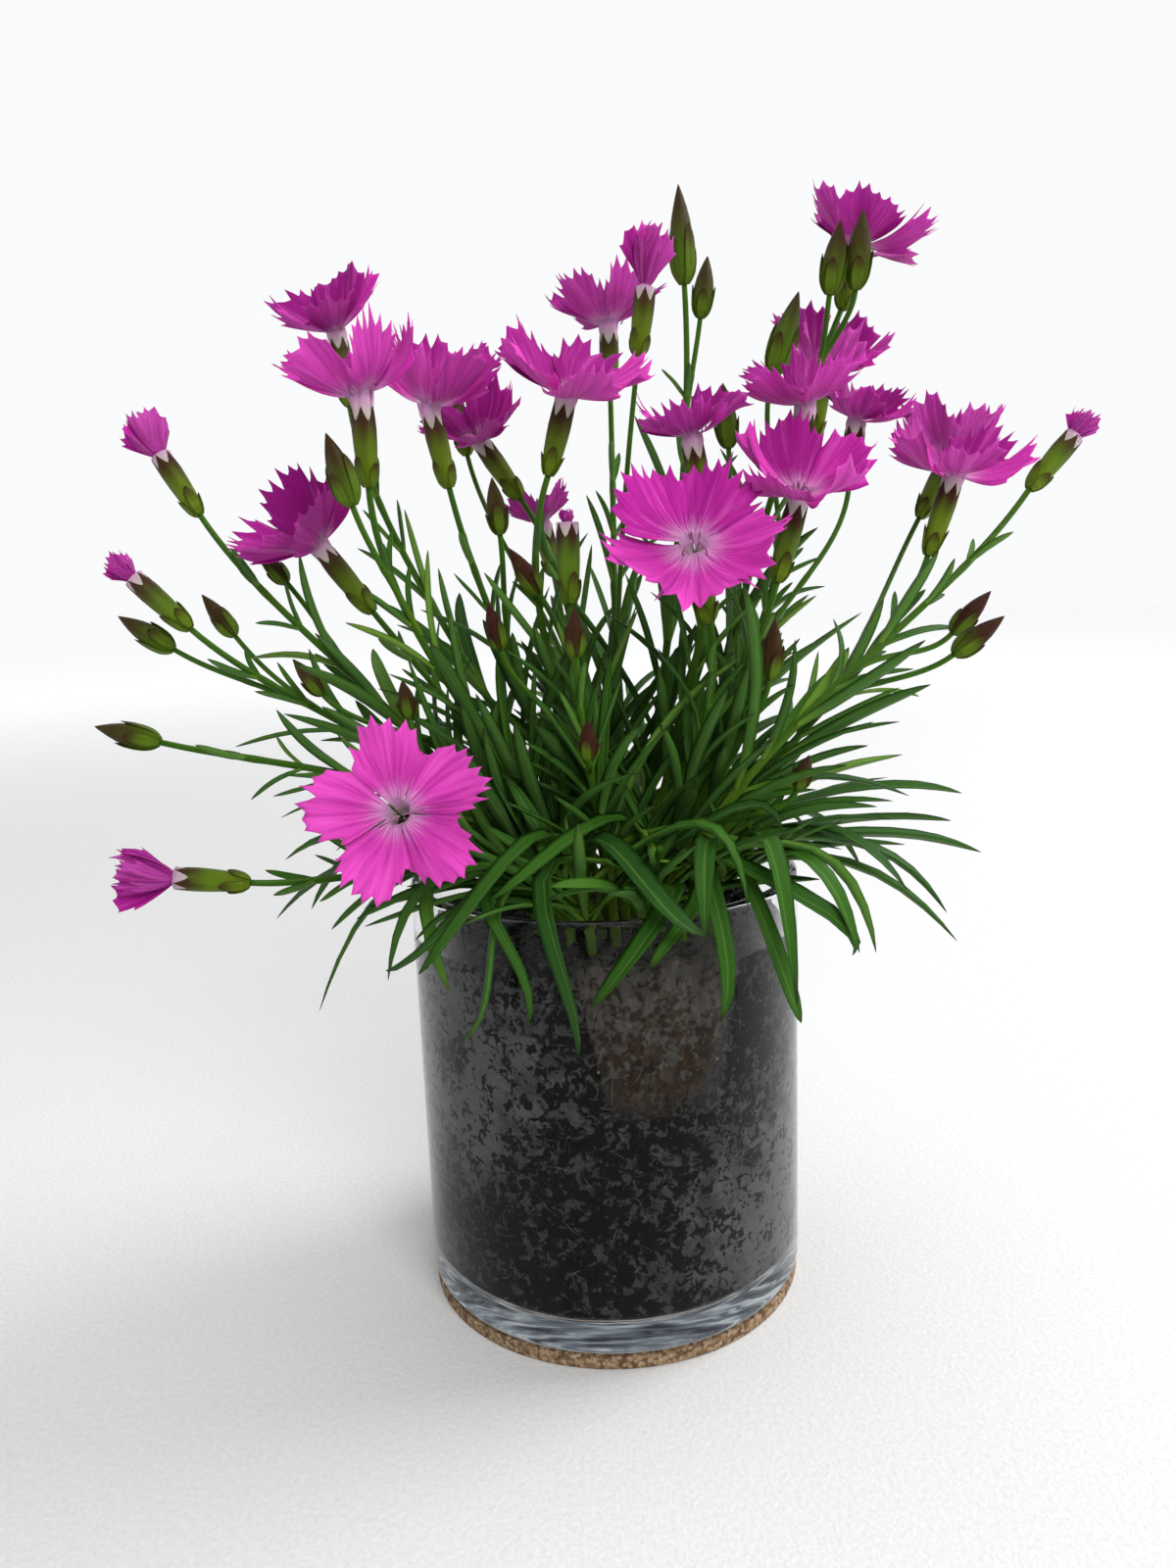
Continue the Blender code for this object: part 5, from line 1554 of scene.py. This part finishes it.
def add_leaf(skin, leaf, rng, slot=1):
    channel, twist = rng.uniform(0.25, 0.6), rng.uniform(-0.5, 0.5)
    sway = rng.uniform(-1, 1) * LEAF_SWAY
    rings = blade_rings(leaf.line, np.array(leaf.side), leaf.half_width, channel, twist, sway)
    rows = np.array(BLADE_ROWS)
    tip = rng.uniform(0.3, 1.0) * smooth(0.90, 1.0, rows)
    tint = rng.uniform(0.0, 0.50) + 0.35 * leaf.young
    tint += PALE_LEAF_TINT if rng.random() < PALE_LEAVES else 0.0
    over = {"across": BLADE_ACROSS[None, :], "under": BLADE_UNDER[None, :]}
    skin.loft(rings, slot, along=rows, tint=[tint], blush=tip, **over)


print("blade", len(BLADE_ROWS), "rings of", len(BLADE_ACROSS))

# %% [markdown]
# ## Calyxes and buds
#
# The calyx is a green tube, 5 mm thick, that ends in five pointed maroon teeth. Its top ring is lifted at
# the teeth and lowered between them, and then turns inward, so that the tube has a real wall. At its foot
# sit two pairs of bracts, small scales that hug the tube. A closed bud is the same tube drawn together to
# a point.

# %% Calyxes and buds
CALYX_SIDES = 30
CALYX_TEETH = 5
CALYX_SHAPE = (
    (0.0, 0.0008), (0.04, 0.0012), (0.10, 0.0016), (0.20, 0.0019),
    (0.35, 0.0022), (0.55, 0.0024), (0.75, 0.0025),
)
CALYX_RADIUS = 0.0025
CALYX_WALL = 0.0003
CALYX_INSIDE = 0.0042
TOOTH_TOP = 0.0006
TOOTH_NOTCH = 0.0024
BUD_SHAPE = (
    (0.0, 0.30), (0.04, 0.55), (0.10, 0.78), (0.20, 0.94), (0.34, 1.0), (0.50, 0.97),
    (0.64, 0.84), (0.77, 0.62), (0.88, 0.37), (0.96, 0.16), (1.0, 0.04),
)
BUD_RADIUS = 0.0024
BUD_SIDES = 20
SMALL_BUD = 0.0125
BRACTS = 4
BRACT_STEPS = 8
BRACT_GAP = 0.0002
BRACT_LEAN = 0.0003
BRACT_CHANNEL = -0.45
CALYX_BRACT_HALF_WIDTH = 0.0013


def to_world(matrix, rings):
    turn = np.array(matrix.to_3x3())
    return rings @ turn.T + np.array(matrix.translation)


def add_bract(skin, matrix, turn, length, reach, flare, half_width, shape, blush, tint):
    """A scale that hugs the tube: its line follows the tube's side, and its tip stands off a little."""
    line = []
    for i in range(BRACT_STEPS + 1):
        share = i / BRACT_STEPS * reach
        radius = np.interp(share, [s for s, _ in shape], [r for _, r in shape])
        radius += BRACT_GAP + flare * (i / BRACT_STEPS) ** 3
        line.append(matrix @ Vector((radius * math.cos(turn), radius * math.sin(turn), share * length)))
    side = matrix.to_3x3() @ Vector((-math.sin(turn), math.cos(turn), 0))
    rings = blade_rings(line, np.array(side.normalized()), half_width, BRACT_CHANNEL, 0.0, 0.0)
    rows = np.array(BLADE_ROWS)
    reddened = blush * smooth(0.35, 1.0, rows)
    skin.loft(rings, 0, along=rows, across=BLADE_ACROSS[None, :], tint=[tint], blush=reddened)


def add_calyx(skin, head, rng):
    foot, mouth = mm(*head.foot), mm(*head.mouth)
    length = (mouth - foot).length
    matrix = facing(foot, mouth - foot, rng.uniform(0, math.tau))
    turn = np.linspace(0, math.tau, CALYX_SIDES, endpoint=False)
    tooth = np.abs((turn * CALYX_TEETH / math.tau) % 1 - 0.5) * 2
    edge = length - TOOTH_NOTCH + (TOOTH_NOTCH + TOOTH_TOP) * tooth**1.4
    rows, heights, radii = [], [], []
    for share, radius in CALYX_SHAPE:
        heights.append(np.full(CALYX_SIDES, share * length))
        radii.append(radius)
    for t in (0.3, 0.6, 0.85, 1.0):
        start = 0.75 * length
        heights.append(start + (edge - start) * t)
        radii.append(CALYX_RADIUS - 0.0001 * t)
    for back in (0.0, 0.5, 1.0):
        heights.append(edge * (1 - back) + (length - CALYX_INSIDE) * back)
        radii.append(0.0024 - CALYX_WALL - 0.0003 * back)
    for height, radius in zip(heights, radii):
        rows.append(np.stack([radius * np.cos(turn), radius * np.sin(turn), height], axis=1))
    rings = np.array(rows)
    share = rings[:, :, 2] / length
    blush = smooth(rng.uniform(0.40, 0.68), 0.96, share + 0.12 * tooth[None, :]) * rng.uniform(0.88, 1.0)
    tint = rng.uniform(0.75, 1.0) - 0.2 * smooth(0.0, 0.8, share)
    rings, stripes = to_world(matrix, rings), np.cos(turn * 3)[None, :]
    skin.loft(rings, 0, along=share, across=stripes, tint=tint, blush=blush)
    for k in range(BRACTS):
        turn, reach = k * math.pi / 2 + 0.3, 0.42 if k % 2 else 0.32
        half_width = CALYX_BRACT_HALF_WIDTH
        add_bract(skin, matrix, turn, length, reach, BRACT_LEAN, half_width, CALYX_SHAPE, 0.9, 0.8)


def add_bud(skin, head, rng):
    foot, tip = mm(*head.foot), mm(*head.mouth)
    length = (tip - foot).length
    size = bud_size(length) * BUD_RADIUS
    matrix = facing(foot, tip - foot, rng.uniform(0, math.tau))
    shape = [(share, radius * size) for share, radius in BUD_SHAPE]
    rings = turned([(radius, share * length) for share, radius in shape], BUD_SIDES)
    turn = np.linspace(0, math.tau, BUD_SIDES, endpoint=False)
    pleat = 1 - 0.10 * smooth(0.5, 1.0, rings[:, :1, 2] / length) * (1 - np.cos(5 * turn)) / 2
    rings[:, :, :2] *= pleat[:, :, None]
    share = rings[:, :, 2] / length
    late = rng.uniform(0.0, 0.35) if length > SMALL_BUD else -0.25
    blush = smooth(-0.1, 0.6, share + 0.06 * np.cos(5 * turn) - late) * rng.uniform(0.8, 1.0)
    rings, tint = to_world(matrix, rings), 0.7 - 0.3 * share
    skin.loft(rings, 0, along=share, across=np.cos(turn * 3)[None, :], tint=tint, blush=blush)
    for k in range(BRACTS):
        reach = (0.62 if k % 2 else 0.45) * rng.uniform(0.85, 1.15)
        add_bract(skin, matrix, k * math.pi / 2, length, reach, BRACT_LEAN, 0.58 * size, shape, 0.95, 0.7)


print("calyx", round(2000 * CALYX_SHAPE[5][1], 1), "mm thick")

# %% [markdown]
# ## Shoots
#
# A shoot is one skin: its stem and forks as smooth tubes, a little thicker at each pair of leaves, then
# its calyxes, buds and leaves. It stands for the solid of the same shoot.

# %% Shoots
STEM_RINGS = 34
STEM_SIDES = 10
NODE_SWELL = 0.00035
NODE_REACH = 0.012


def add_stalk(skin, stalk, joints, rng):
    shares = np.linspace(0, 1, STEM_RINGS)
    points = np.array([tuple(stalk.at(t)) for t in shares])
    if stalk.root_radius == STEM_ROOT_RADIUS:
        points = np.vstack([[*points[0][:2], STEM_FOOT_Z], points])
        shares = np.concatenate([[0.0], shares])
    radii = FINE_WIDTH * (stalk.root_radius + (stalk.tip_radius - stalk.root_radius) * shares)
    swell = sum(np.exp(-(((shares - joint) / NODE_REACH) ** 2)) for joint in joints)
    rings = tube_rings(points, radii + NODE_SWELL * np.minimum(swell, 1), STEM_SIDES)
    turn = np.linspace(0, 3 * math.tau, STEM_SIDES)
    tint = 0.65 - 0.55 * smooth(0.0, 0.5, shares) + rng.uniform(-0.1, 0.1)
    blush = 0.25 * np.minimum(swell, 1) * shares
    skin.loft(rings, 0, along=shares, across=np.cos(turn)[None, :], tint=tint, blush=blush)


heads_of = {f"shoot_{shoot}": heads for shoot, heads in SHOOTS.items()}
for name, stems in stalks.items():
    rng = random.Random(f"{name}_fine")
    skin = Skin()
    for n, stalk in enumerate(stems):
        joints = [pair[0] for pair in LEAF_PAIRS] if n == 0 else [0.5]
        add_stalk(skin, stalk, joints, rng)
    for head in heads_of.get(name, ()):
        if head.kind == "bud":
            add_bud(skin, head, rng)
        else:
            add_calyx(skin, head, rng)
    for leaf in leaves[name]:
        add_leaf(skin, leaf, rng)
    skin.piece(f"{name}_fine", [green, leaf_finish], name, slot="leaf_green")
print(len(stalks), "shoots and tufts")

# %% [markdown]
# ## Petal finishes
#
# A petal is magenta with fine darker veins that fan out from the throat, paler towards the throat and
# almost white on the narrow claw. Its back is paler and a little grey. Light passes through it, so both
# faces scatter light below the surface.

# %% Petal finishes
PETAL_SCATTER = {
    "Subsurface_Weight": 0.12,
    "Subsurface_Radius": (0.0012, 0.0004, 0.0010),
    "Subsurface_Scale": 1.0,
}
# painted light: the first colour is that of sunlit petals, the second a painted highlight on their folds
SUNLIT, PLEAT_HIGHLIGHT = (0.90, 0.090, 0.58), (0.88, 0.20, 0.66)
THROAT, THROAT_MARKS, CLAW = (0.78, 0.44, 0.70), (0.33, 0.18, 0.33), (0.66, 0.68, 0.52)
PETAL_RELIEF = 0.00025


def petal_finish(name, limb, vein, edge, vein_share):
    """One face of the petals. The mark `bright` is above 0 on sunlit petals and below 0 on shaded ones."""
    made = Finish(name, 0.6, **PETAL_SCATTER)
    made.set("Specular IOR Level", 0.1)
    along, tint = made.mark("along"), made.mark("tint")
    veins = made.grain(made.blade_place(13.0, 0.9), 3.0, 3.0, 0.55)
    blotch = made.grain(made.place(), 140.0, 2.0)
    body = made.blend(made.spread(tint, 0.0, 1.0), limb, edge)
    body = made.blend(made.spread(blotch, 0.35, 0.7, 0.0, 0.35), body, edge)
    body = made.blend(made.spread(veins, 0.42, 0.66, 0.0, vein_share), body, vein)
    # painted light: on sunlit petals the outer part turns towards a brighter pink; painted shade: shaded
    # petals turn towards the dark vein colour
    outer = made.spread(along, 0.45, 0.95, 0.45, 0.80)
    body = made.blend(made.maths("MULTIPLY", made.mark("bright"), outer), body, SUNLIT)
    body = made.blend(made.spread(made.mark("bright"), -1.0, 0.0, 0.9, 0.0), body, vein)
    # painted shade and painted highlight: stripes along the blade, darker where a fold would lie in shade
    # and lighter where it would catch the light
    pleat_shade_and_highlight = made.grain(made.blade_place(3.4, 0.5), 2.0, 2.0)
    body = made.blend(made.spread(pleat_shade_and_highlight, 0.35, 0.55, 0.38, 0.0), body, vein)
    body = made.blend(made.spread(pleat_shade_and_highlight, 0.52, 0.75, 0.0, 0.25), body, PLEAT_HIGHLIGHT)
    streaks = made.maths("ADD", along, made.spread(veins, 0.3, 0.7, -0.16, 0.16))
    body = made.blend(made.spread(streaks, 0.13, 0.40, 0.75, 0.0), body, THROAT)
    marks = made.maths("MULTIPLY", made.spread(along, 0.02, 0.12), made.spread(along, 0.14, 0.24, 1.0, 0.0))
    marks = made.maths("MULTIPLY", marks, made.spread(veins, 0.45, 0.6, 0.0, 0.7))
    body = made.blend(marks, body, THROAT_MARKS)
    made.paint(made.blend(made.spread(along, -0.30, 0.06, 1.0, 0.0), body, CLAW))
    made.relief(veins, PETAL_RELIEF)
    return made


petal_top = petal_finish("petal_top", (0.43, 0.010, 0.28), (0.24, 0.004, 0.16), (0.66, 0.030, 0.43), 0.5)
petal_back = petal_finish("petal_back", (0.43, 0.026, 0.31), (0.26, 0.010, 0.18), (0.62, 0.080, 0.45), 0.6)
style_finish = Finish("style", 0.5)
style_stops = ((0.0, (0.55, 0.50, 0.48)), (0.5, (0.36, 0.12, 0.28)), (1.0, (0.20, 0.03, 0.15)))
style_finish.paint(style_finish.ramp(style_finish.mark("along"), *style_stops))
print("petal finishes ready")

# %% [markdown]
# ## Petals
#
# A petal is a fan on a narrow claw. Its rows run from the claw, which stands in the calyx, out to the
# edge, and its columns end by turns in the tip of a tooth and in the notch beside it, so the teeth are
# cut in the mesh itself. The fan arches, ripples and curls a little, each petal in its own way, and the
# five overlap like the slats of a blind.

# %% Petal shape
PETAL_ARCH = 0.14
PETAL_BOWL = 0.22
PETAL_HALF_ANGLE = math.radians(42)
PETAL_SHARES = np.array((0.17, 0.24, 0.32, 0.42, 0.52, 0.62, 0.72, 0.81, 0.89, 0.95, 1.0))
# how far up the edge between a notch and a tip its flank is halfway along: less than half makes pointed
# teeth
FLANK = 0.36


@dataclass
class PetalForm:
    """How one petal differs from another: shares of its reach, and angles in radians."""

    half_angle: float = PETAL_HALF_ANGLE
    teeth: int = 9
    fold: float = 0.0
    swirl: float = 0.0
    curl: float = 0.0
    ripple: float = 0.06
    notch: float = 0.16
    corner: float = 0.20
    bowl: float = PETAL_BOWL
    throat: float = 0.0
    bright: float = 0.0


def petal_edge(form, rng):
    """How far the edge reaches at each column: tips and notches by turns, and a flank between them."""
    knots = np.linspace(-1, 1, 2 * form.teeth + 1)
    reach = 1.0 - form.corner * np.abs(knots) ** 3
    for k in range(len(knots)):
        reach[k] -= form.notch * rng.uniform(0.55, 1.45) if k % 2 else 0.08 * rng.random()
    sway = np.array([rng.uniform(-0.28, 0.28) for _ in knots]) / form.teeth
    sway[0] = sway[-1] = 0
    knots = knots + sway
    low, high = np.minimum(reach[:-1], reach[1:]), np.maximum(reach[:-1], reach[1:])
    spots, edge = np.empty(4 * form.teeth + 1), np.empty(4 * form.teeth + 1)
    spots[::2], spots[1::2] = knots, (knots[:-1] + knots[1:]) / 2
    edge[::2], edge[1::2] = reach, low + FLANK * (high - low)
    return spots, edge


def petal_grid(reach, form, rng):
    """The fan as rows by columns, in its own place: x outward from the claw, z up."""
    spots, edge = petal_edge(form, rng)
    mean = float(edge.mean())
    shares = PETAL_SHARES[:, None]
    radius = shares * (mean + (edge[None, :] - mean) * shares**5)
    spread = form.half_angle * (0.95 + 0.08 * smooth(0.15, 0.55, shares) - 0.08 * smooth(0.7, 1.0, shares))
    angle = spots[None, :] * spread + form.swirl * shares
    x, y = radius * np.cos(angle), radius * np.sin(angle)
    phases = [rng.uniform(0, math.tau) for _ in range(3)]
    waves = rng.uniform(3.2, 5.2)
    height = PETAL_ARCH * (x * x - 0.6 * y * y) + form.bowl * (x * x - x) * smooth(0.0, 0.3, shares)
    height -= form.curl * np.maximum(radius - 0.6, 0) ** 2
    height += form.ripple * radius**2 * np.sin(waves * spots[None, :] + phases[0])
    height += 0.45 * form.ripple * radius**3 * np.sin(9 * spots[None, :] + phases[1])
    height += 0.25 * form.ripple * radius * np.sin(5 * radius + phases[2])
    height += form.fold * np.abs(y)
    height += 0.012 * radius**4 * np.cos(math.tau * form.teeth * spots[None, :])
    return np.stack([x, y, height], axis=2) * reach, spots


print("a petal's fan has", len(PETAL_SHARES), "rows and", 4 * PetalForm().teeth + 1, "columns")

# %% [markdown]
# ## Claw and two faces
#
# The narrow claw is a strip of a tube round the calyx's axis, a little turned into a spiral so that the
# five claws slip past each other. Fan and claw are one sheet. Its lower face is the same sheet, set down
# by the thickness of a petal, which is greatest at the claw and least at the teeth. Each face has its own
# finish.

# %% Whole petals
# the claw's rows: lift above the calyx's mouth, radius round its axis, and the mark that they carry
CLAW_ROWS = (
    (-0.0030, 0.00180, -0.35), (-0.0014, 0.00188, -0.22),
    (0.0000, 0.00198, -0.12), (0.0012, 0.00215, -0.04),
)
CLAW_HALF_TURN = 0.66
CLAW_SPIRAL = 0.00006
PETAL_THICKNESS = 0.00026
PETAL_EDGE = 0.00009


def add_petal(skin, matrix, mouth, axis, reach, form, rng):
    limb, spots = petal_grid(reach, form, rng)
    limb = to_world(matrix, limb)
    out = np.array(matrix.to_3x3() @ Vector((1, 0, 0)))
    way = np.array(axis)
    out = out - way * out.dot(way)
    out /= np.linalg.norm(out)
    side = np.cross(way, out)
    rows = []
    for lift, radius, _ in CLAW_ROWS:
        angle = spots * CLAW_HALF_TURN
        ring = np.outer(np.cos(angle), out) + np.outer(np.sin(angle), side)
        rows.append(np.array(mouth) + way * lift + ring * (radius + CLAW_SPIRAL * spots[:, None]))
    top = np.concatenate([np.array(rows), limb])
    along = np.array([mark for _, _, mark in CLAW_ROWS] + list(PETAL_SHARES + form.throat))
    down = np.cross(np.gradient(top, axis=1), np.gradient(top, axis=0))
    down /= np.maximum(np.linalg.norm(down, axis=2), 1e-12)[:, :, None]
    middle = (1 - smooth(0.3, 1.0, along))[:, None] * (1 - np.abs(spots) ** 4)
    thick = PETAL_EDGE + (PETAL_THICKNESS - PETAL_EDGE) * middle
    bottom = top + down * thick[:, :, None]
    rings = np.concatenate([top, bottom[:, ::-1]], axis=1)
    columns = len(spots)
    u = np.concatenate([spots, spots[::-1]])
    tint = rng.random()
    before = len(skin.slots)
    marks = {"along": along, "across": u[None, :], "tint": [tint], "bright": [form.bright]}
    skin.loft(rings, 0, caps=(False, False), **marks)
    ring = 2 * columns
    skin.slots[before:] = [0 if i % ring < columns - 1 else 1 for i in range(len(skin.slots) - before)]
    base = skin.count - rings.shape[0] * ring
    for first in (base, base + (rings.shape[0] - 1) * ring):
        for k in range(columns - 1):
            face = (first + k, first + k + 1, first + ring - 2 - k, first + ring - 1 - k)
            skin.faces.append(face[::-1] if first == base else face)
            skin.slots.append(0)


print("a claw has", len(CLAW_ROWS), "rows")

# %% [markdown]
# In the middle of an open bloom two styles curl out of the tube, between short stamens. They are thin
# tubes: a style turns more the further out it is, and a stamen ends in a small thick anther.

# %% Styles and stamens
STYLES = 2
STYLE_POINTS = 15
STAMENS = 5
STAMEN_ROOT, STAMEN_LEAN = 0.0006, 0.0011
STAMEN_RADII = (0.00009, 0.00009, 0.00022, 0.00012)


def add_styles(skin, mouth, axis, face, rng):
    """Two curled styles and a few short stamens in the throat."""
    base = Vector(mouth) + Vector(axis) * 0.0005
    up = Vector(face)
    steps = STYLE_POINTS - 1
    for _ in range(STYLES):
        turn = rng.uniform(0, math.tau)
        aside = (Matrix.Rotation(turn, 3, up) @ up.orthogonal()).normalized()
        length, curl = rng.uniform(0.0075, 0.0095), rng.uniform(2.6, 4.2)
        line, angle, point = [], 0.15, base + aside * 0.0003
        for i in range(STYLE_POINTS):
            line.append(tuple(point))
            angle += curl / steps * (2 * i / steps) ** 1.5
            point = point + (up * math.cos(angle) + aside * math.sin(angle)) * (length / steps)
        radii = np.linspace(0.00022, 0.00016, STYLE_POINTS)
        skin.loft(tube_rings(line, radii, 6), 2, along=np.linspace(0, 1, STYLE_POINTS))
    for k in range(STAMENS):
        turn = math.tau * (k + rng.random() * 0.6) / STAMENS
        aside = (Matrix.Rotation(turn, 3, up) @ up.orthogonal()).normalized()
        tip = base + up * rng.uniform(0.003, 0.0045) + aside * STAMEN_LEAN
        bent = base.lerp(tip, 0.5) + aside * 0.0002
        line = [tuple(p) for p in (base + aside * STAMEN_ROOT, bent, tip, tip + up * 0.0007)]
        skin.loft(tube_rings(line, STAMEN_RADII, 5), 2, along=(0.0, 0.1, 0.7, 0.8))


print(STYLES, "styles and", STAMENS, "stamens in each throat")

# %% [markdown]
# ## Blooms
#
# A bloom is five petals round the calyx's axis. Their turn, their tilt and their roll repeat the draws of
# the solid bloom, so the fine petals lie where the solid's do. A second generator draws what the solid
# doesn't have: the number of teeth, the fold, the curl and the ripple. The blooms that catch the most
# light in the photo are marked brighter, and in cupped blooms the petals at the back are darker, because
# light reaches them only through others.

# %% Blooms
PETALS = 5
CLAW_LIFT = 0.0032
CLAW_DEPTH = 0.0012
PETAL_CUP_SPREAD = 9
PETAL_ROLL = 0.10
# a bloom whose petals rise less than this, in degrees, counts as flat: they are narrower and rounder
OPEN_CUP = 15
FLAT_HALF_ANGLE = math.radians(36.5)
FLAT_CORNER = 0.36
# painted light and shade on petals: how much darker the back petals of cupped blooms are painted, how much
# painted light the other blooms get, and how much the sunlit blooms get
BACK_SHADE = 1.25
DIM_BLOOM = 0.15
BRIGHT_BLOOMS = {
    "bloom_18": 1.0, "bloom_09": 0.75, "bloom_03": 0.9, "bloom_04": 0.6, "bloom_11": 0.6, "bloom_07": 0.6,
    "bloom_16": 0.55, "bloom_12": 0.35,
}
# how far the middle of a fan sags below its ends, for the blooms that are deeper bowls than the rest
BOWLS = {
    "bloom_09": 0.55, "bloom_03": 0.42, "bloom_04": 0.40,
    "bloom_07": 0.34, "bloom_11": 0.36, "bloom_16": 0.34,
}


def bloom_skin(name, head):
    """Five petals placed by the same draws as the solid's, then their finer form."""
    mouth = mm(*head.mouth) + head_way(head) * REST_GAP
    face = Vector(head.face).normalized() if head.face else head_way(head)
    rng, fine = random.Random(name), random.Random(f"{name}_fine")
    bright = BRIGHT_BLOOMS.get(name, DIM_BLOOM)
    root = mouth + head_way(head) * (CLAW_LIFT - CLAW_DEPTH)
    spin = rng.uniform(0, math.tau)
    reach = head.spread / 2000 / math.cos(math.radians(head.cup))
    skin = Skin()
    for k in range(PETALS):
        turn = Matrix.Rotation(spin + math.tau * k / PETALS + rng.uniform(-0.04, 0.04), 4, "Z")
        cup = math.radians(head.cup + rng.uniform(-1, 1) * PETAL_CUP_SPREAD)
        rise = Matrix.Rotation(-cup, 4, "Y")
        roll = Matrix.Rotation(rng.uniform(-0.12, 0.12) * 0.5 + PETAL_ROLL, 4, "X")
        narrow = Matrix.Scale(math.cos(cup), 4, (0, 1, 0))
        form = PetalForm(
            teeth=fine.choice((7, 7, 8, 8, 9, 10)),
            fold=fine.uniform(-0.12, 0.16),
            curl=fine.uniform(-0.3, 0.9),
            ripple=fine.uniform(0.06, 0.14),
            notch=fine.uniform(0.13, 0.21),
            bright=bright * fine.uniform(0.7, 1.0),
            bowl=BOWLS.get(name, PETAL_BOWL),
        )
        if head.cup < OPEN_CUP:
            form.half_angle, form.corner = FLAT_HALF_ANGLE, FLAT_CORNER
            form.ripple = fine.uniform(0.10, 0.16)
        matrix = facing(root, face) @ turn @ rise @ roll @ narrow
        # painted shade on the petals at the back of cupped blooms
        if head.cup > OPEN_CUP:
            petal_way = matrix.to_3x3() @ Vector((1, 0, 0))
            form.bright -= BACK_SHADE * float(smooth(-0.2, 0.5, petal_way.y))
        add_petal(skin, matrix, mouth, head_way(head), reach, form, fine)
    add_styles(skin, mouth, head_way(head), face, fine)
    return skin


print(len(BRIGHT_BLOOMS), "brighter blooms and", len(BOWLS), "deeper bowls")

# %% [markdown]
# ## Opening buds and all the flowers
#
# In an opening bud the petals are still folded and wound round each other. It is made of the same petals,
# narrower, steeper and with a swirl. Blooms and opening buds are numbered in the order in which the
# shoots are listed, as the solids are.

# %% Opening buds and all the flowers
OPENING_PETALS = 7
OPENING_HALF_ANGLE = 0.36
OPENING_DEPTH = 0.001


def opening_skin(name, head):
    """An opening bud: narrow folded petals in a twisted bundle."""
    mouth = mm(*head.mouth) + head_way(head) * REST_GAP
    rng = random.Random(name)
    tall, wide = head.tall / 1000, head.spread / 2000
    cup = math.atan2(tall, wide * 0.8)
    skin = Skin()
    root = mouth - head_way(head) * OPENING_DEPTH
    for k in range(OPENING_PETALS):
        turn = Matrix.Rotation(math.tau * k / OPENING_PETALS + rng.uniform(-0.2, 0.2), 4, "Z")
        lean = cup + (rng.uniform(0.0, 0.12) if k % 2 else rng.uniform(-0.03, 0.03))
        rise = Matrix.Rotation(-lean, 4, "Y")
        form = PetalForm(
            half_angle=OPENING_HALF_ANGLE,
            teeth=rng.choice((4, 5, 6)),
            fold=rng.uniform(-0.5, 0.2),
            swirl=rng.uniform(0.05, 0.25),
            ripple=0.08,
            throat=0.3,
        )
        reach = tall * rng.uniform(0.88, 1.02) / max(0.6, math.sin(cup))
        matrix = facing(root, head_way(head)) @ turn @ rise
        add_petal(skin, matrix, root, head_way(head), reach, form, rng)
    return skin


blooms = openings = 0
for heads in SHOOTS.values():
    for head in heads:
        if head.kind == "bloom":
            blooms += 1
            name = f"bloom_{blooms:02d}"
            skin = bloom_skin(name, head)
        elif head.kind == "opening":
            openings += 1
            name = f"opening_bud_{openings:02d}"
            skin = opening_skin(name, head)
        else:
            continue
        skin.piece(f"{name}_fine", [petal_top, petal_back, style_finish], name, slot="petal_magenta")
print(blooms, "blooms and", openings, "opening buds")

# %% [markdown]
# ## Sizes
#
# The dressed plant should stay as large as its solids, so both boxes are measured and how far they
# differ is printed.

# %% Sizes
VISUAL_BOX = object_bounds()
growth = [round(1000 * (VISUAL_BOX[i][axis] - CAD_BOX[i][axis]), 1) for i in range(2) for axis in range(3)]
print("the dressed plant differs from the solids by", growth, "mm")
